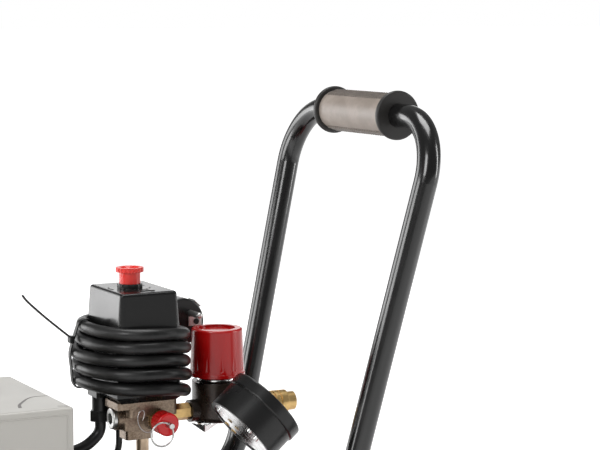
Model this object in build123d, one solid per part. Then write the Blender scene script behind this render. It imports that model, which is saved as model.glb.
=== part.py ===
from build123d import *

import math
import os

# Portable direct-drive air compressor, modelled in millimetres.
# +Z is up, +X points to the handle, -Y is the gauge side, and the floor is z = 0.
# The origin is the middle of the footprint.

# --- Clearances -----------------------------------------------------------------
SEAT_GAP = 0.3           # between a curved face and the piece that it rests on
RUNNING_GAP = 0.05       # radial play of a pin, screw or shaft in its bore
HEAD_GAP = 0.3           # axial play under a head, collar or knob

# --- Air tank -------------------------------------------------------------------
TANK_DIAMETER = 230.0
TANK_WALL = 2.5
TANK_STRAIGHT = 510.0
DOME_DEPTH = 45.0
KNUCKLE_R = 22.0         # outer radius where a dished end turns into the side
TANK_CLEARANCE = 30.0    # floor to the lowest line of the tank
TANK_X = -11.0           # middle of the tank

TANK_R = TANK_DIAMETER / 2
CROWN_R = ((TANK_R - KNUCKLE_R) ** 2 + DOME_DEPTH ** 2 - KNUCKLE_R ** 2) / (2 * (DOME_DEPTH - KNUCKLE_R))
TANK_Z = TANK_CLEARANCE + TANK_R
TANK_TOP = TANK_Z + TANK_R

# --- Platform on the tank -------------------------------------------------------
PLATE_THICKNESS = 3.0
PLATE_LIFT = 6.0         # tank top to the underside of the plate
PLATE_X = (-290.0, 170.0)
FLANGE_TOP_RISE = 34.0   # height of the upturned sides above the plate underside
SADDLE_X = (TANK_X - TANK_STRAIGHT / 2 + 64.0, TANK_X + TANK_STRAIGHT / 2 - 106.0)
SADDLE_LENGTH = 30.0
SADDLE_WIDTH = 120.0

PLATE_Z = TANK_TOP + PLATE_LIFT
DECK_Z = PLATE_Z + PLATE_THICKNESS

# --- Handle ---------------------------------------------------------------------
TUBE_DIAMETER = 18.0
TUBE_WALL = 1.5
GRIP_X = 292.0
GRIP_Z = 600.0
LEG_TOP_Y = 114.0
LEG_FOOT_Y = 92.0
LEG_FOOT_X = 216.0       # where the leg line meets the level run
LEG_FOOT_RISE = 22.0     # level run above the underside of the plate
LEVEL_RUN_END_X = 20.0
TOP_BEND = 45.0
FOOT_BEND = 60.0
HANDLE_BOLT_X = (35.0, 145.0)
HANDLE_BOLT_DIAMETER = 8.0

GRIP_LENGTH = 104.0
GRIP_DIAMETER = 31.0
GRIP_FLANGE_DIAMETER = 38.0
GRIP_FLANGE_LENGTH = 4.0
GRIP_RIB_COUNT = 24
GRIP_RIB_SIZE = 1.6

TUBE_R = TUBE_DIAMETER / 2
RUN_Z = PLATE_Z + LEG_FOOT_RISE
FLANGE_OUTER_Y = LEG_FOOT_Y - TUBE_R - SEAT_GAP
FLANGE_INNER_Y = FLANGE_OUTER_Y - PLATE_THICKNESS

# --- Wheels ---------------------------------------------------------------------
WHEEL_DIAMETER = 160.0
WHEEL_WIDTH = 32.0
WHEEL_INNER_Y = 119.0
WHEEL_X = TANK_X - TANK_STRAIGHT / 2 + 59.0
RIM_DIAMETER = 118.0
HUB_DIAMETER = 36.0
HUB_RECESS = 9.0         # hub face inside the tyre's outer face
AXLE_DIAMETER = 12.0
SPOKE_COUNT = 5
BRACKET_Y = (108.0, 112.0)
BRACKET_HALF_LENGTH = 30.0

WHEEL_Z = WHEEL_DIAMETER / 2
WHEEL_OUTER_Y = WHEEL_INNER_Y + WHEEL_WIDTH
HUB_OUTER_Y = WHEEL_OUTER_Y - HUB_RECESS

# --- Front foot and drain -------------------------------------------------------
FOOT_X = TANK_X + TANK_STRAIGHT / 2 - 51.0
FOOT_WIDTH = 160.0
FOOT_LENGTH = 40.0
FOOT_SHEET = 3.0
PAD_DIAMETER = 34.0
PAD_HEIGHT = 22.0
PAD_Y = 58.0
DRAIN_X = -50.0

# --- Pressure switch and its manifold -------------------------------------------
SWITCH_X = 94.0
KNOB_X = 91.0
RISER_X = 100.0
RISER_DIAMETER = 9.5
MANIFOLD_RISE = 91.0     # deck to the underside of the manifold
MANIFOLD_BOTTOM = DECK_Z + MANIFOLD_RISE
MANIFOLD_BLOCK_BOTTOM = MANIFOLD_BOTTOM + 9.0
MANIFOLD_PLATE_BOTTOM = MANIFOLD_BOTTOM + 20.0
MANIFOLD_PLUG_AT = (-7.0, MANIFOLD_BOTTOM + 17.8)
MANIFOLD_PLUG_FACE = 74.5
SWITCH_BASE_BOTTOM = MANIFOLD_PLATE_BOTTOM + 12.0
SWITCH_BASE_HEIGHT = 8.5
COVER_TOP = SWITCH_BASE_BOTTOM + SWITCH_BASE_HEIGHT + 73.5
COVER_TOP_SIZE = (45.0, 63.0)
COVER_Y = 1.5            # middle of the cover, back of the switch's middle
COVER_SHOULDER = COVER_TOP - 29.0   # the sides are drafted above this and upright below
COVER_DRAFT = 4.4        # degrees on each side
COVER_WALL = 2.5
COVER_CORNER = 5.0
KNOB_STEM_DIAMETER = 15.8
KNOB_FLANGE_DIAMETER = 20.7
KNOB_FLANGE_BOTTOM = COVER_TOP + 12.2
KNOB_TOP = COVER_TOP + 15.6
KNOB_TRAVEL = 7.5
KNOB_COLLAR_HEIGHT = 3.6

COVER_BOTTOM = SWITCH_BASE_BOTTOM + SWITCH_BASE_HEIGHT
COVER_SPREAD = (COVER_TOP - COVER_SHOULDER) * math.tan(math.radians(COVER_DRAFT))

# --- Relief valve ---------------------------------------------------------------
RELIEF_X = 103.0
RELIEF_Z = MANIFOLD_BOTTOM + 16.7
RELIEF_FACE_Y = -24.0
RELIEF_HEX_LENGTH = 5.5
RELIEF_CAP_LENGTH = 12.5
RELIEF_CAP_DIAMETER = 17.5
RELIEF_STEM_DIAMETER = 4.0
RING_R = 8.8
RING_WIRE = 1.3
RING_Y = -46.2
RING_LEAN = 48.0         # degrees that the ring hangs to one side

# --- Cables ---------------------------------------------------------------------
CORD_DIAMETER = 9.4
COIL_X = 93.5
COIL_HALF_SIZE = (35.8, 41.8)     # centre line of a turn, along X and Y
COIL_CORNER = 29.5
COIL_Z = (COVER_BOTTOM + 0.1, COVER_BOTTOM + 50.5)
TIE_Y = 9.5              # where the strap crosses the turns
MOTOR_CABLE_DIAMETER = 8.5
MOTOR_GLAND_AT = (71.0, 12.0)
MOTOR_GLAND_ACROSS = 14.0
BLEED_DIAMETER = 5.0

# --- Mains plug -----------------------------------------------------------------
PLUG_AT = (150.0, 36.5, COVER_BOTTOM + 38.1)    # middle of the face that carries the pins
PLUG_DIAMETER = 37.0
PLUG_DEPTH = 20.0
PLUG_NECK_START = (120.5, 46.5, COVER_BOTTOM + 40.5)
PIN_DIAMETER = 4.8
PIN_LENGTH = 19.0
PIN_SPACING = 19.0

# --- Regulator, gauge and outlet ------------------------------------------------
OUTLET_Z = MANIFOLD_BOTTOM + 16.0
REGULATOR_X = 162.5
REGULATOR_BODY_DIAMETER = 39.0
REGULATOR_BODY_Z = (OUTLET_Z - 9.0, OUTLET_Z + 22.0)
REGULATOR_KNOB_Z = (OUTLET_Z + 26.2, OUTLET_Z + 62.7)
REGULATOR_KNOB_DIAMETER = (41.5, 39.0)
REGULATOR_FACETS = 12
NUB_WIDTH = 15.5         # chromed pyramid under the body
NUB_HEIGHT = 8.2
NUB_OFFSET = 10.5
NUB_TURN = 20.0
GAUGE_CENTRE = (166.2, -58.0, OUTLET_Z + 3.7)
GAUGE_FACING = (0.76, 0.0, 0.65)
GAUGE_DIAMETER = 62.5
GAUGE_DEPTH = 30.0
BEZEL_DEPTH = 10.0
BEZEL_STEP = 1.2         # bezel radius over the case radius
NEEDLE_SWEEP = 270.0
COUPLER_LENGTH = 52.0
SLEEVE_DIAMETER = 18.5
SLEEVE_TRAVEL = 4.0
COUPLER_BORE = 7.5

# --- Motor and compressor -------------------------------------------------------
SHAFT_Z = DECK_Z + 67.0
SHAFT_DIAMETER = 15.0
COWL_X = (-150.0, 20.0)
COWL_HALF_WIDTH = 67.0
COWL_TOP = DECK_Z + 133.5
COWL_WALL = 2.0
STATOR_X = (-120.0, -40.0)
STATOR_DIAMETER = 110.0
ROTOR_DIAMETER = 61.0
ROTOR_GAP = 0.5
FAN_X = (-8.0, 8.0)
FAN_DIAMETER = 100.0
FAN_BLADES = 7
CYLINDER_X = -215.0
STROKE = 22.0
ROD_LENGTH = 77.0
BORE_DIAMETER = 64.0
PISTON_PLAY = 0.2
CROWN = 6.0
CRANKCASE_WALL = 6.0
CRANKCASE_X = (-250.0, -175.0)
CRANKCASE_HALF_WIDTH = 48.0
CRANKCASE_Z = (DECK_Z + 20.0, DECK_Z + 116.0)
FIN_COUNT = 8
FIN_DIAMETER = 96.0
HEAD_HEIGHT = 32.0
CHECK_VALVE_X = 50.0

CRANK_R = STROKE / 2
WRIST_Z = SHAFT_Z + CRANK_R + ROD_LENGTH
BOTTOM_ALIGN = (Align.CENTER, Align.CENTER, Align.MIN)


# --- Plain shapes ---------------------------------------------------------------
def rod(start, direction, diameter, length):
    """Return a cylinder that starts at a point and runs along a direction."""
    return Plane(origin=start, z_dir=direction) * Cylinder(diameter / 2, length, align=BOTTOM_ALIGN)


def cone(start, direction, first, last, length):
    """Return a cone frustum with two end diameters."""
    return Plane(origin=start, z_dir=direction) * Cone(first / 2, last / 2, length, align=BOTTOM_ALIGN)


def hexagon(start, direction, across, length):
    """Return a hexagonal prism of a width across its flats."""
    outline = RegularPolygon(across / 2, 6, major_radius=False)
    return Plane(origin=start, z_dir=direction) * extrude(outline, length)


def block(x, y, z):
    """Return a box between the given pairs of coordinates."""
    middle = [(low + high) / 2 for low, high in (x, y, z)]
    return Pos(*middle) * Box(x[1] - x[0], y[1] - y[0], z[1] - z[0])


def swept(points, radii, diameter):
    """Return a round bar along straight runs that meet in tangent arcs."""
    path = FilletPolyline(*points, radius=radii)
    section = Plane(origin=path @ 0, z_dir=path % 0) * Circle(diameter / 2)
    return sweep(section, path=path)


def cord_radii(points):
    """Return the largest arc for each corner of a cord's route."""
    radii = []
    for before, corner, after in zip(points, points[1:], points[2:]):
        arriving = Vector(*corner) - Vector(*before)
        leaving = Vector(*after) - Vector(*corner)
        half_turn = math.radians(arriving.get_angle(leaving)) / 2
        shorter = min(arriving.length, leaving.length)
        radii.append(0.45 * shorter / math.tan(half_turn))
    return radii


# --- Air tank -------------------------------------------------------------------
def tank_body(inset):
    """Return the cylinder with its dished ends, smaller by an inset on every side."""
    half = TANK_STRAIGHT / 2
    roof = half, TANK_R - inset
    crown_x = half + DOME_DEPTH - CROWN_R
    join = math.degrees(math.atan2(TANK_R - KNUCKLE_R, half - crown_x))
    crown = CenterArc((crown_x, 0), CROWN_R - inset, 0, join)
    knuckle = CenterArc((half, TANK_R - KNUCKLE_R), KNUCKLE_R - inset, join, 90 - join)
    lines = [Line((0, 0), crown @ 0), crown, knuckle, Line(roof, (0, roof[1])), Line((0, roof[1]), (0, 0))]
    right = revolve(make_face(lines), axis=Axis.X)
    return Pos(TANK_X, 0, TANK_Z) * (right + mirror(right, about=Plane.YZ))


def tank_cylinder(gap):
    """Return the tank's round body grown by a gap, to cut its neighbours."""
    start = (TANK_X - TANK_STRAIGHT / 2, 0, TANK_Z)
    return rod(start, (1, 0, 0), TANK_DIAMETER + 2 * gap, TANK_STRAIGHT)


def tank_shell():
    """Return the tank with weld seams and its three threaded sockets."""
    seam_width = 7.0
    seam_height = 1.2
    socket_height = 5.0
    socket_diameter = 25.0
    drain_bore = 12.0
    solid = tank_body(0)
    for side in (-1, 1):
        seam_x = TANK_X + side * (TANK_STRAIGHT / 2 - 8) - seam_width / 2
        solid += rod((seam_x, 0, TANK_Z), (1, 0, 0), TANK_DIAMETER + 2 * seam_height, seam_width)
    for x in (RISER_X, CHECK_VALVE_X):
        solid += rod((x, 0, TANK_TOP - 12), (0, 0, 1), socket_diameter, 12 + socket_height)
    solid += rod((DRAIN_X, 0, TANK_CLEARANCE + 10), (0, 0, -1), socket_diameter, 10 + socket_height)
    solid -= tank_body(TANK_WALL)
    bore = RISER_DIAMETER + 2 * RUNNING_GAP
    for x in (RISER_X, CHECK_VALVE_X):
        solid -= rod((x, 0, TANK_TOP - 14), (0, 0, 1), bore, 30)
    solid -= rod((DRAIN_X, 0, TANK_CLEARANCE - 10), (0, 0, 1), drain_bore + 2 * RUNNING_GAP, 25)
    return solid


# --- Platform -------------------------------------------------------------------
def platform():
    """Return the folded plate with two saddles that sit on the tank."""
    flange_top = PLATE_Z + FLANGE_TOP_RISE
    solid = block(PLATE_X, (-FLANGE_OUTER_Y, FLANGE_OUTER_Y), (PLATE_Z, DECK_Z))
    for y in ((-FLANGE_OUTER_Y, -FLANGE_INNER_Y), (FLANGE_INNER_Y, FLANGE_OUTER_Y)):
        solid += block(PLATE_X, y, (PLATE_Z, flange_top))
    for x in SADDLE_X:
        span = (x - SADDLE_LENGTH / 2, x + SADDLE_LENGTH / 2)
        solid += block(span, (-SADDLE_WIDTH / 2, SADDLE_WIDTH / 2), (TANK_Z + TANK_R / 2, PLATE_Z))
    solid -= tank_cylinder(SEAT_GAP)
    for x in (RISER_X, CHECK_VALVE_X):
        solid -= rod((x, 0, TANK_TOP), (0, 0, 1), 30, 20)
    for x in HANDLE_BOLT_X:
        hole = HANDLE_BOLT_DIAMETER + 2 * RUNNING_GAP
        solid -= rod((x, -FLANGE_OUTER_Y - 5, RUN_Z), (0, 1, 0), hole, 2 * FLANGE_OUTER_Y + 10)
    return solid


# --- Handle ---------------------------------------------------------------------
def handle_route(end_inset):
    """Return the handle's corner points, its level runs shortened by an inset."""
    first = (LEVEL_RUN_END_X + end_inset, -LEG_FOOT_Y, RUN_Z)
    knee = (LEG_FOOT_X, -LEG_FOOT_Y, RUN_Z)
    shoulder = (GRIP_X, -LEG_TOP_Y, GRIP_Z)
    points = [first, knee, shoulder]
    return points + [(x, -y, z) for x, y, z in reversed(points)]


def handle_tube():
    """Return the bent tube, closed at its ends and drilled for its bolts."""
    radii = [FOOT_BEND, TOP_BEND, TOP_BEND, FOOT_BEND]
    solid = swept(handle_route(0), radii, TUBE_DIAMETER)
    solid -= swept(handle_route(TUBE_WALL), radii, TUBE_DIAMETER - 2 * TUBE_WALL)
    hole = HANDLE_BOLT_DIAMETER + 2 * RUNNING_GAP
    for x in HANDLE_BOLT_X:
        solid -= rod((x, -LEG_TOP_Y, RUN_Z), (0, 1, 0), hole, 2 * LEG_TOP_Y)
    return solid


def handle_grip():
    """Return the ribbed sleeve with a flange at each end."""
    start = (GRIP_X, -GRIP_LENGTH / 2, GRIP_Z)
    solid = rod(start, (0, 1, 0), GRIP_DIAMETER, GRIP_LENGTH)
    for y in (-GRIP_LENGTH / 2, GRIP_LENGTH / 2 - GRIP_FLANGE_LENGTH):
        flange = rod((GRIP_X, y, GRIP_Z), (0, 1, 0), GRIP_FLANGE_DIAMETER, GRIP_FLANGE_LENGTH)
        solid += fillet(flange.edges(), GRIP_FLANGE_LENGTH / 2 - 0.4)
    pitch = (GRIP_LENGTH - 4 * GRIP_FLANGE_LENGTH) / GRIP_RIB_COUNT
    rib = Box(9, GRIP_RIB_SIZE, 3)
    for angle in (20, 160, 200, 340):
        for number in range(GRIP_RIB_COUNT):
            y = (number + 0.5) * pitch - GRIP_RIB_COUNT * pitch / 2
            place = Pos(GRIP_X, y, GRIP_Z) * Rot(0, angle, 0) * Pos(0, 0, GRIP_DIAMETER / 2 - 0.7)
            solid += place * rib
    return solid - rod(start, (0, 1, 0), TUBE_DIAMETER + 2 * RUNNING_GAP, GRIP_LENGTH)


def handle_bolts():
    """Return the bolts that hold the handle to the platform, with their nuts."""
    head_height = 5.0
    nut_height = 6.5
    outside = LEG_FOOT_Y + TUBE_R + HEAD_GAP
    inside = FLANGE_INNER_Y - nut_height
    bolts = []
    for x in HANDLE_BOLT_X:
        shank = rod((x, inside, RUN_Z), (0, 1, 0), HANDLE_BOLT_DIAMETER, outside - inside)
        head = rod((x, outside, RUN_Z), (0, 1, 0), 14, head_height)
        head -= hexagon((x, outside + 2, RUN_Z), (0, 1, 0), 5, head_height)
        nut = hexagon((x, inside, RUN_Z), (0, 1, 0), 13, nut_height)
        bolts.append(shank + head + nut)
    bolts += [mirror(bolt, about=Plane.XZ) for bolt in bolts]
    return Compound(children=[bolt.solid() for bolt in bolts])


# --- Wheels and feet ------------------------------------------------------------
def wheel_rim():
    """Return one spoked wheel centre, at +Y."""
    dish = 6.0
    band = 7.0
    middle = (WHEEL_INNER_Y + HUB_OUTER_Y) / 2
    outer = RIM_DIAMETER
    solid = rod((0, WHEEL_INNER_Y + 2, 0), (0, 1, 0), outer, WHEEL_WIDTH - 4)
    solid -= rod((0, WHEEL_INNER_Y, 0), (0, 1, 0), outer - 2 * band, WHEEL_WIDTH)
    solid += rod((0, WHEEL_INNER_Y + 0.7, 0), (0, 1, 0), HUB_DIAMETER, HUB_OUTER_Y - WHEEL_INNER_Y - 0.7)
    solid += rod((0, middle - dish / 2, 0), (0, 1, 0), outer - band, dish)
    for number in range(SPOKE_COUNT):
        turned = Rot(0, number * 360 / SPOKE_COUNT, 0)
        solid += turned * block((HUB_DIAMETER / 2 - 2, outer / 2 - band + 1), (middle - 8, middle + 8), (-4, 4))
        window = rod((0, middle - dish, 0), (0, 1, 0), 16, 2 * dish)
        solid -= turned * Rot(0, 180 / SPOKE_COUNT, 0) * Pos(36, 0, 0) * window
    solid -= rod((0, 0, 0), (0, 1, 0), AXLE_DIAMETER + 2 * RUNNING_GAP, WHEEL_OUTER_Y)
    return Pos(WHEEL_X, 0, WHEEL_Z) * solid


def tyre():
    """Return one solid rubber tyre with a grooved tread, at +Y."""
    inner = RIM_DIAMETER / 2 + SEAT_GAP
    outer = WHEEL_DIAMETER / 2
    middle = (WHEEL_INNER_Y + WHEEL_OUTER_Y) / 2
    section = Pos((inner + outer) / 2, middle) * RectangleRounded(outer - inner, WHEEL_WIDTH, 7)
    for offset in (-6, 6):
        section -= Pos(outer, middle + offset) * Circle(1.6)
    return Pos(WHEEL_X, 0, WHEEL_Z) * revolve(section, axis=Axis.Y)


def wheel_brackets():
    """Return the two gusseted plates that carry the axle bolts."""
    bottom = WHEEL_Z - 22
    top = TANK_Z - 30
    x = (WHEEL_X - BRACKET_HALF_LENGTH, WHEEL_X + BRACKET_HALF_LENGTH)
    solid = block(x, BRACKET_Y, (bottom, top))
    for web_x in (x[0], x[1] - 4):
        solid += block((web_x, web_x + 4), (60, BRACKET_Y[1]), (bottom, top))
    solid -= tank_cylinder(SEAT_GAP)
    hole = AXLE_DIAMETER + 2 * RUNNING_GAP
    solid -= rod((WHEEL_X, 0, WHEEL_Z), (0, 1, 0), hole, WHEEL_OUTER_Y)
    left = max(solid.solids(), key=lambda piece: piece.volume)
    return Compound(children=[left, mirror(left, about=Plane.XZ)])


def axle_bolts():
    """Return the shoulder bolts that the wheels turn on, with their nuts."""
    nut_height = 5.0
    start = BRACKET_Y[0] - SEAT_GAP - nut_height
    head = HUB_OUTER_Y + HEAD_GAP
    solid = rod((WHEEL_X, start, WHEEL_Z), (0, 1, 0), AXLE_DIAMETER, head - start)
    solid += hexagon((WHEEL_X, start, WHEEL_Z), (0, 1, 0), 19, nut_height)
    spacer = BRACKET_Y[1] + SEAT_GAP
    solid += rod((WHEEL_X, spacer, WHEEL_Z), (0, 1, 0), 20, WHEEL_INNER_Y + 0.7 - HEAD_GAP - spacer)
    solid += hexagon((WHEEL_X, head, WHEEL_Z), (0, 1, 0), 19, 7)
    left = solid.solid()
    return Compound(children=[left, mirror(left, about=Plane.XZ)])


def foot_bracket():
    """Return the folded front foot under the tank's handle end."""
    x = (FOOT_X - FOOT_LENGTH / 2, FOOT_X + FOOT_LENGTH / 2)
    y = (-FOOT_WIDTH / 2, FOOT_WIDTH / 2)
    top = TANK_Z - TANK_R * 0.55
    solid = block(x, y, (PAD_HEIGHT, top))
    solid -= block((x[0] + FOOT_SHEET, x[1] - FOOT_SHEET), y, (PAD_HEIGHT + FOOT_SHEET, top))
    solid -= tank_cylinder(SEAT_GAP)
    for side in (-1, 1):
        solid -= rod((FOOT_X, side * PAD_Y, 0), (0, 0, 1), 8 + 2 * RUNNING_GAP, 40)
    return solid


def foot_pads():
    """Return the two rubber feet with their screw studs."""
    pads = []
    for side in (-1, 1):
        at = (FOOT_X, side * PAD_Y, 0)
        pad = cone(at, (0, 0, 1), PAD_DIAMETER - 5, PAD_DIAMETER, PAD_HEIGHT)
        stud = rod((at[0], at[1], PAD_HEIGHT), (0, 0, 1), 8, FOOT_SHEET + 6)
        nut_start = PAD_HEIGHT + FOOT_SHEET + HEAD_GAP
        nut = hexagon((at[0], at[1], nut_start), (0, 0, 1), 13, 5)
        pads.append((pad + stud + nut).solid())
    return Compound(children=pads)


# --- Drain ----------------------------------------------------------------------
def drain_body():
    """Return the brass drain fitting in the tank's lowest socket."""
    face = TANK_CLEARANCE - 5 - SEAT_GAP
    solid = rod((DRAIN_X, 0, face), (0, 0, 1), 12, 14)
    solid += hexagon((DRAIN_X, 0, face), (0, 0, -1), 17, 9)
    return solid - rod((DRAIN_X, 0, face + 14), (0, 0, -1), 5 + 2 * RUNNING_GAP, 24)


def drain_knob():
    """Return the winged screw that opens the drain."""
    top = TANK_CLEARANCE - 5 - SEAT_GAP - 9 - HEAD_GAP
    solid = rod((DRAIN_X, 0, top + 16), (0, 0, -1), 5, 17)
    solid += rod((DRAIN_X, 0, top), (0, 0, -1), 12, 7)
    solid += block((DRAIN_X - 12, DRAIN_X + 12), (-1.5, 1.5), (top - 9, top - 1))
    return solid


# --- Manifold -------------------------------------------------------------------
def riser_pipe():
    """Return the pipe from the tank socket up to the manifold."""
    bottom = TANK_TOP - 8
    solid = rod((RISER_X, 0, bottom), (0, 0, 1), RISER_DIAMETER, MANIFOLD_BOTTOM + 8 - bottom)
    solid += hexagon((RISER_X, 0, TANK_TOP + 5 + SEAT_GAP), (0, 0, 1), 17, 8)
    return solid - rod((RISER_X, 0, bottom), (0, 0, 1), RISER_DIAMETER - 3, 200)


def manifold():
    """Return the cast block with its switch flange and its ports."""
    plug_y, plug_z = MANIFOLD_PLUG_AT
    plate = (MANIFOLD_PLATE_BOTTOM, SWITCH_BASE_BOTTOM)
    lower = block((84, 106), (-8.5, 8.5), (MANIFOLD_BOTTOM, MANIFOLD_BLOCK_BOTTOM + 1))
    solid = fillet(lower.edges().filter_by(Axis.Z), 3)
    upper = block((79, 112), (-16, 15), (MANIFOLD_BLOCK_BOTTOM, MANIFOLD_PLATE_BOTTOM + 1))
    solid += fillet(upper.edges().filter_by(Axis.Z), 2)
    flange = block((79, 119), (-24, 24), plate)
    solid += fillet(flange.edges().filter_by(Axis.Z), 4)
    solid += block((70.5, 82), (-24, 1), (plate[1] - 5.5, plate[1]))
    solid += rod((82, plug_y, plug_z), (-1, 0, 0), 18, 82 - MANIFOLD_PLUG_FACE)
    solid += rod((RELIEF_X, -13, RELIEF_Z), (0, -1, 0), 17, -13 - RELIEF_FACE_Y)
    solid += rod((111, 0, OUTLET_Z), (1, 0, 0), 17, 8)
    solid -= rod((RISER_X, 0, MANIFOLD_BOTTOM), (0, 0, 1), RISER_DIAMETER + 2 * RUNNING_GAP, 26)
    solid -= rod((70, plug_y, plug_z), (1, 0, 0), 11 + 2 * RUNNING_GAP, 20)
    solid -= rod((RELIEF_X, RELIEF_FACE_Y - 1, RELIEF_Z), (0, 1, 0), 9 + 2 * RUNNING_GAP, 14)
    solid -= rod((125, 0, OUTLET_Z), (-1, 0, 0), 9 + 2 * RUNNING_GAP, 15)
    gland_x, gland_y = MOTOR_GLAND_AT
    solid -= rod((gland_x, gland_y, MANIFOLD_BOTTOM), (0, 0, 1), MOTOR_GLAND_ACROSS + 5, 22)
    bleed_x, bleed_y, bleed_z = BLEED_ROUTE[0]
    hole = rod((bleed_x, bleed_y, bleed_z), (0, 0, -1), BLEED_DIAMETER + 2 * RUNNING_GAP, 40)
    return solid - hole


def manifold_plug():
    """Return the socket-head plug that closes the manifold's spare port."""
    face = MANIFOLD_PLUG_FACE - SEAT_GAP
    y, z = MANIFOLD_PLUG_AT
    solid = rod((face, y, z), (1, 0, 0), 11, 12)
    head = rod((face, y, z), (-1, 0, 0), 16, 3)
    head = fillet(head.edges().sort_by(Axis.X)[0], 1)
    solid += head
    return solid - hexagon((face - 4, y, z), (1, 0, 0), 8, 9)


# --- Relief valve ---------------------------------------------------------------
def relief_body():
    """Return the brass body of the relief valve."""
    face = RELIEF_FACE_Y - SEAT_GAP
    solid = rod((RELIEF_X, face, RELIEF_Z), (0, 1, 0), 9, 12)
    solid += hexagon((RELIEF_X, face, RELIEF_Z), (0, -1, 0), 14, RELIEF_HEX_LENGTH)
    return solid - rod((RELIEF_X, 0, RELIEF_Z), (0, -1, 0), RELIEF_STEM_DIAMETER + 2 * RUNNING_GAP, 40)


def relief_cap():
    """Return the red cap over the relief valve's spring."""
    start = RELIEF_FACE_Y - SEAT_GAP - RELIEF_HEX_LENGTH - SEAT_GAP
    solid = rod((RELIEF_X, start, RELIEF_Z), (0, -1, 0), RELIEF_CAP_DIAMETER, RELIEF_CAP_LENGTH)
    solid = fillet(solid.edges().sort_by(Axis.Y)[0], 1.5)
    for number in range(16):
        notch = Pos(RELIEF_CAP_DIAMETER / 2 + 0.5, 0, 0) * Cylinder(0.9, RELIEF_CAP_LENGTH - 4, align=BOTTOM_ALIGN)
        place = Plane(origin=(RELIEF_X, start - 1, RELIEF_Z), z_dir=(0, -1, 0))
        solid -= place * (Rot(0, 0, number * 22.5) * notch)
    return solid - rod((RELIEF_X, 0, RELIEF_Z), (0, -1, 0), RELIEF_STEM_DIAMETER + 2 * RUNNING_GAP, 60)


def relief_stem():
    """Return the stem that is pulled to vent the tank."""
    solid = rod((RELIEF_X, RELIEF_FACE_Y + 2, RELIEF_Z), (0, -1, 0), RELIEF_STEM_DIAMETER, RELIEF_FACE_Y + 5 - RING_Y)
    across = Plane(origin=(RELIEF_X, RING_Y, RELIEF_Z), z_dir=ring_tangent())
    return solid - across * Cylinder(1.15, 10)


def ring_tangent():
    """Return the direction of the ring's wire where it passes the stem."""
    lean = math.radians(RING_LEAN)
    return (math.cos(lean), 0, -math.sin(lean))


def relief_ring():
    """Return the two-turn split ring that hangs in the stem."""
    lean = math.radians(RING_LEAN)
    centre = (RELIEF_X - RING_R * math.sin(lean), RING_Y, RELIEF_Z - RING_R * math.cos(lean))
    place = Plane(origin=centre, z_dir=(0, 1, 0))
    return place * Torus(RING_R, RING_WIRE / 2)


# --- Pressure switch ------------------------------------------------------------
def switch_base():
    """Return the moulded base with its two cable entries."""
    z = (SWITCH_BASE_BOTTOM, COVER_BOTTOM - HEAD_GAP)
    base = block((67, 121), (-32, 35), z)
    base = chamfer(base.edges().group_by(Axis.Z)[0], 5)
    motor_x, motor_y = MOTOR_GLAND_AT
    base += block((motor_x - 6.5, motor_x + 9), (motor_y - 9, motor_y + 9), z)
    base += block((78, SUPPLY_GLAND_AT[0] - SEAT_GAP), (30, 52), z)
    motor_entry = rod((*MOTOR_GLAND_AT, SWITCH_BASE_BOTTOM - 1), (0, 0, 1), 10 + 2 * RUNNING_GAP, 8)
    return base - motor_entry


def cover_block(inset):
    """Return the cover's drafted block, smaller by an inset on every side."""
    width = COVER_TOP_SIZE[0] + 2 * (COVER_SPREAD - inset)
    depth = COVER_TOP_SIZE[1] + 2 * (COVER_SPREAD - inset)
    outline = RectangleRounded(width, depth, COVER_CORNER)
    upright = extrude(outline, COVER_SHOULDER - COVER_BOTTOM)
    drafted = extrude(outline, COVER_TOP - COVER_SHOULDER - inset, taper=COVER_DRAFT)
    return Pos(SWITCH_X, COVER_Y, COVER_BOTTOM) * upright + Pos(SWITCH_X, COVER_Y, COVER_SHOULDER) * drafted


def switch_cover():
    """Return the hollow cover with the collar that guides the knob."""
    solid = cover_block(0)
    solid = fillet(solid.edges().group_by(Axis.Z)[-1], 2.5)
    solid += rod((KNOB_X, 0, COVER_TOP - 1), (0, 0, 1), KNOB_STEM_DIAMETER + 3, 1 + KNOB_COLLAR_HEIGHT)
    for side in (-1, 1):
        solid += Pos(SWITCH_X + 6, side * 18, COVER_TOP) * Box(3, 9, 1.2)
        solid += Pos(SWITCH_X + 1, side * 20, COVER_TOP) * Box(9, 2, 1.2)
    solid -= cover_block(COVER_WALL)
    solid -= rod((KNOB_X, 0, COVER_SHOULDER), (0, 0, 1), KNOB_STEM_DIAMETER + 2 * RUNNING_GAP, 60)
    return solid


def switch_knob():
    """Return the red on and off knob with its toothed flange."""
    centre = KNOB_X
    height = KNOB_TOP - KNOB_FLANGE_BOTTOM
    solid = rod((centre, 0, 458), (0, 0, 1), KNOB_STEM_DIAMETER, KNOB_FLANGE_BOTTOM + 1 - 458)
    flange = rod((centre, 0, KNOB_FLANGE_BOTTOM), (0, 0, 1), KNOB_FLANGE_DIAMETER, height)
    teeth = 20
    for number in range(teeth):
        notch = Pos(KNOB_FLANGE_DIAMETER / 2 + 0.5, 0, 0) * Cylinder(1.0, height, align=BOTTOM_ALIGN)
        flange -= Pos(centre, 0, KNOB_FLANGE_BOTTOM) * Rot(0, 0, number * 360 / teeth) * notch
    solid += flange
    return solid - cone((centre, 0, KNOB_TOP - 2.0), (0, 0, 1), 11, 15, 2.01)


def switch_contacts():
    """Return the contact block and lever plate under the cover."""
    solid = block((SWITCH_X - 18, SWITCH_X + 18), (-22, 22), (COVER_BOTTOM, COVER_BOTTOM + 26))
    solid += block((SWITCH_X - 14, SWITCH_X + 14), (-16, 16), (COVER_BOTTOM + 26, COVER_BOTTOM + 40))
    for y in (-15, -5, 5, 15):
        solid += rod((SWITCH_X + 14, y, COVER_BOTTOM + 26), (0, 0, 1), 5, 3)
    return solid


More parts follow.
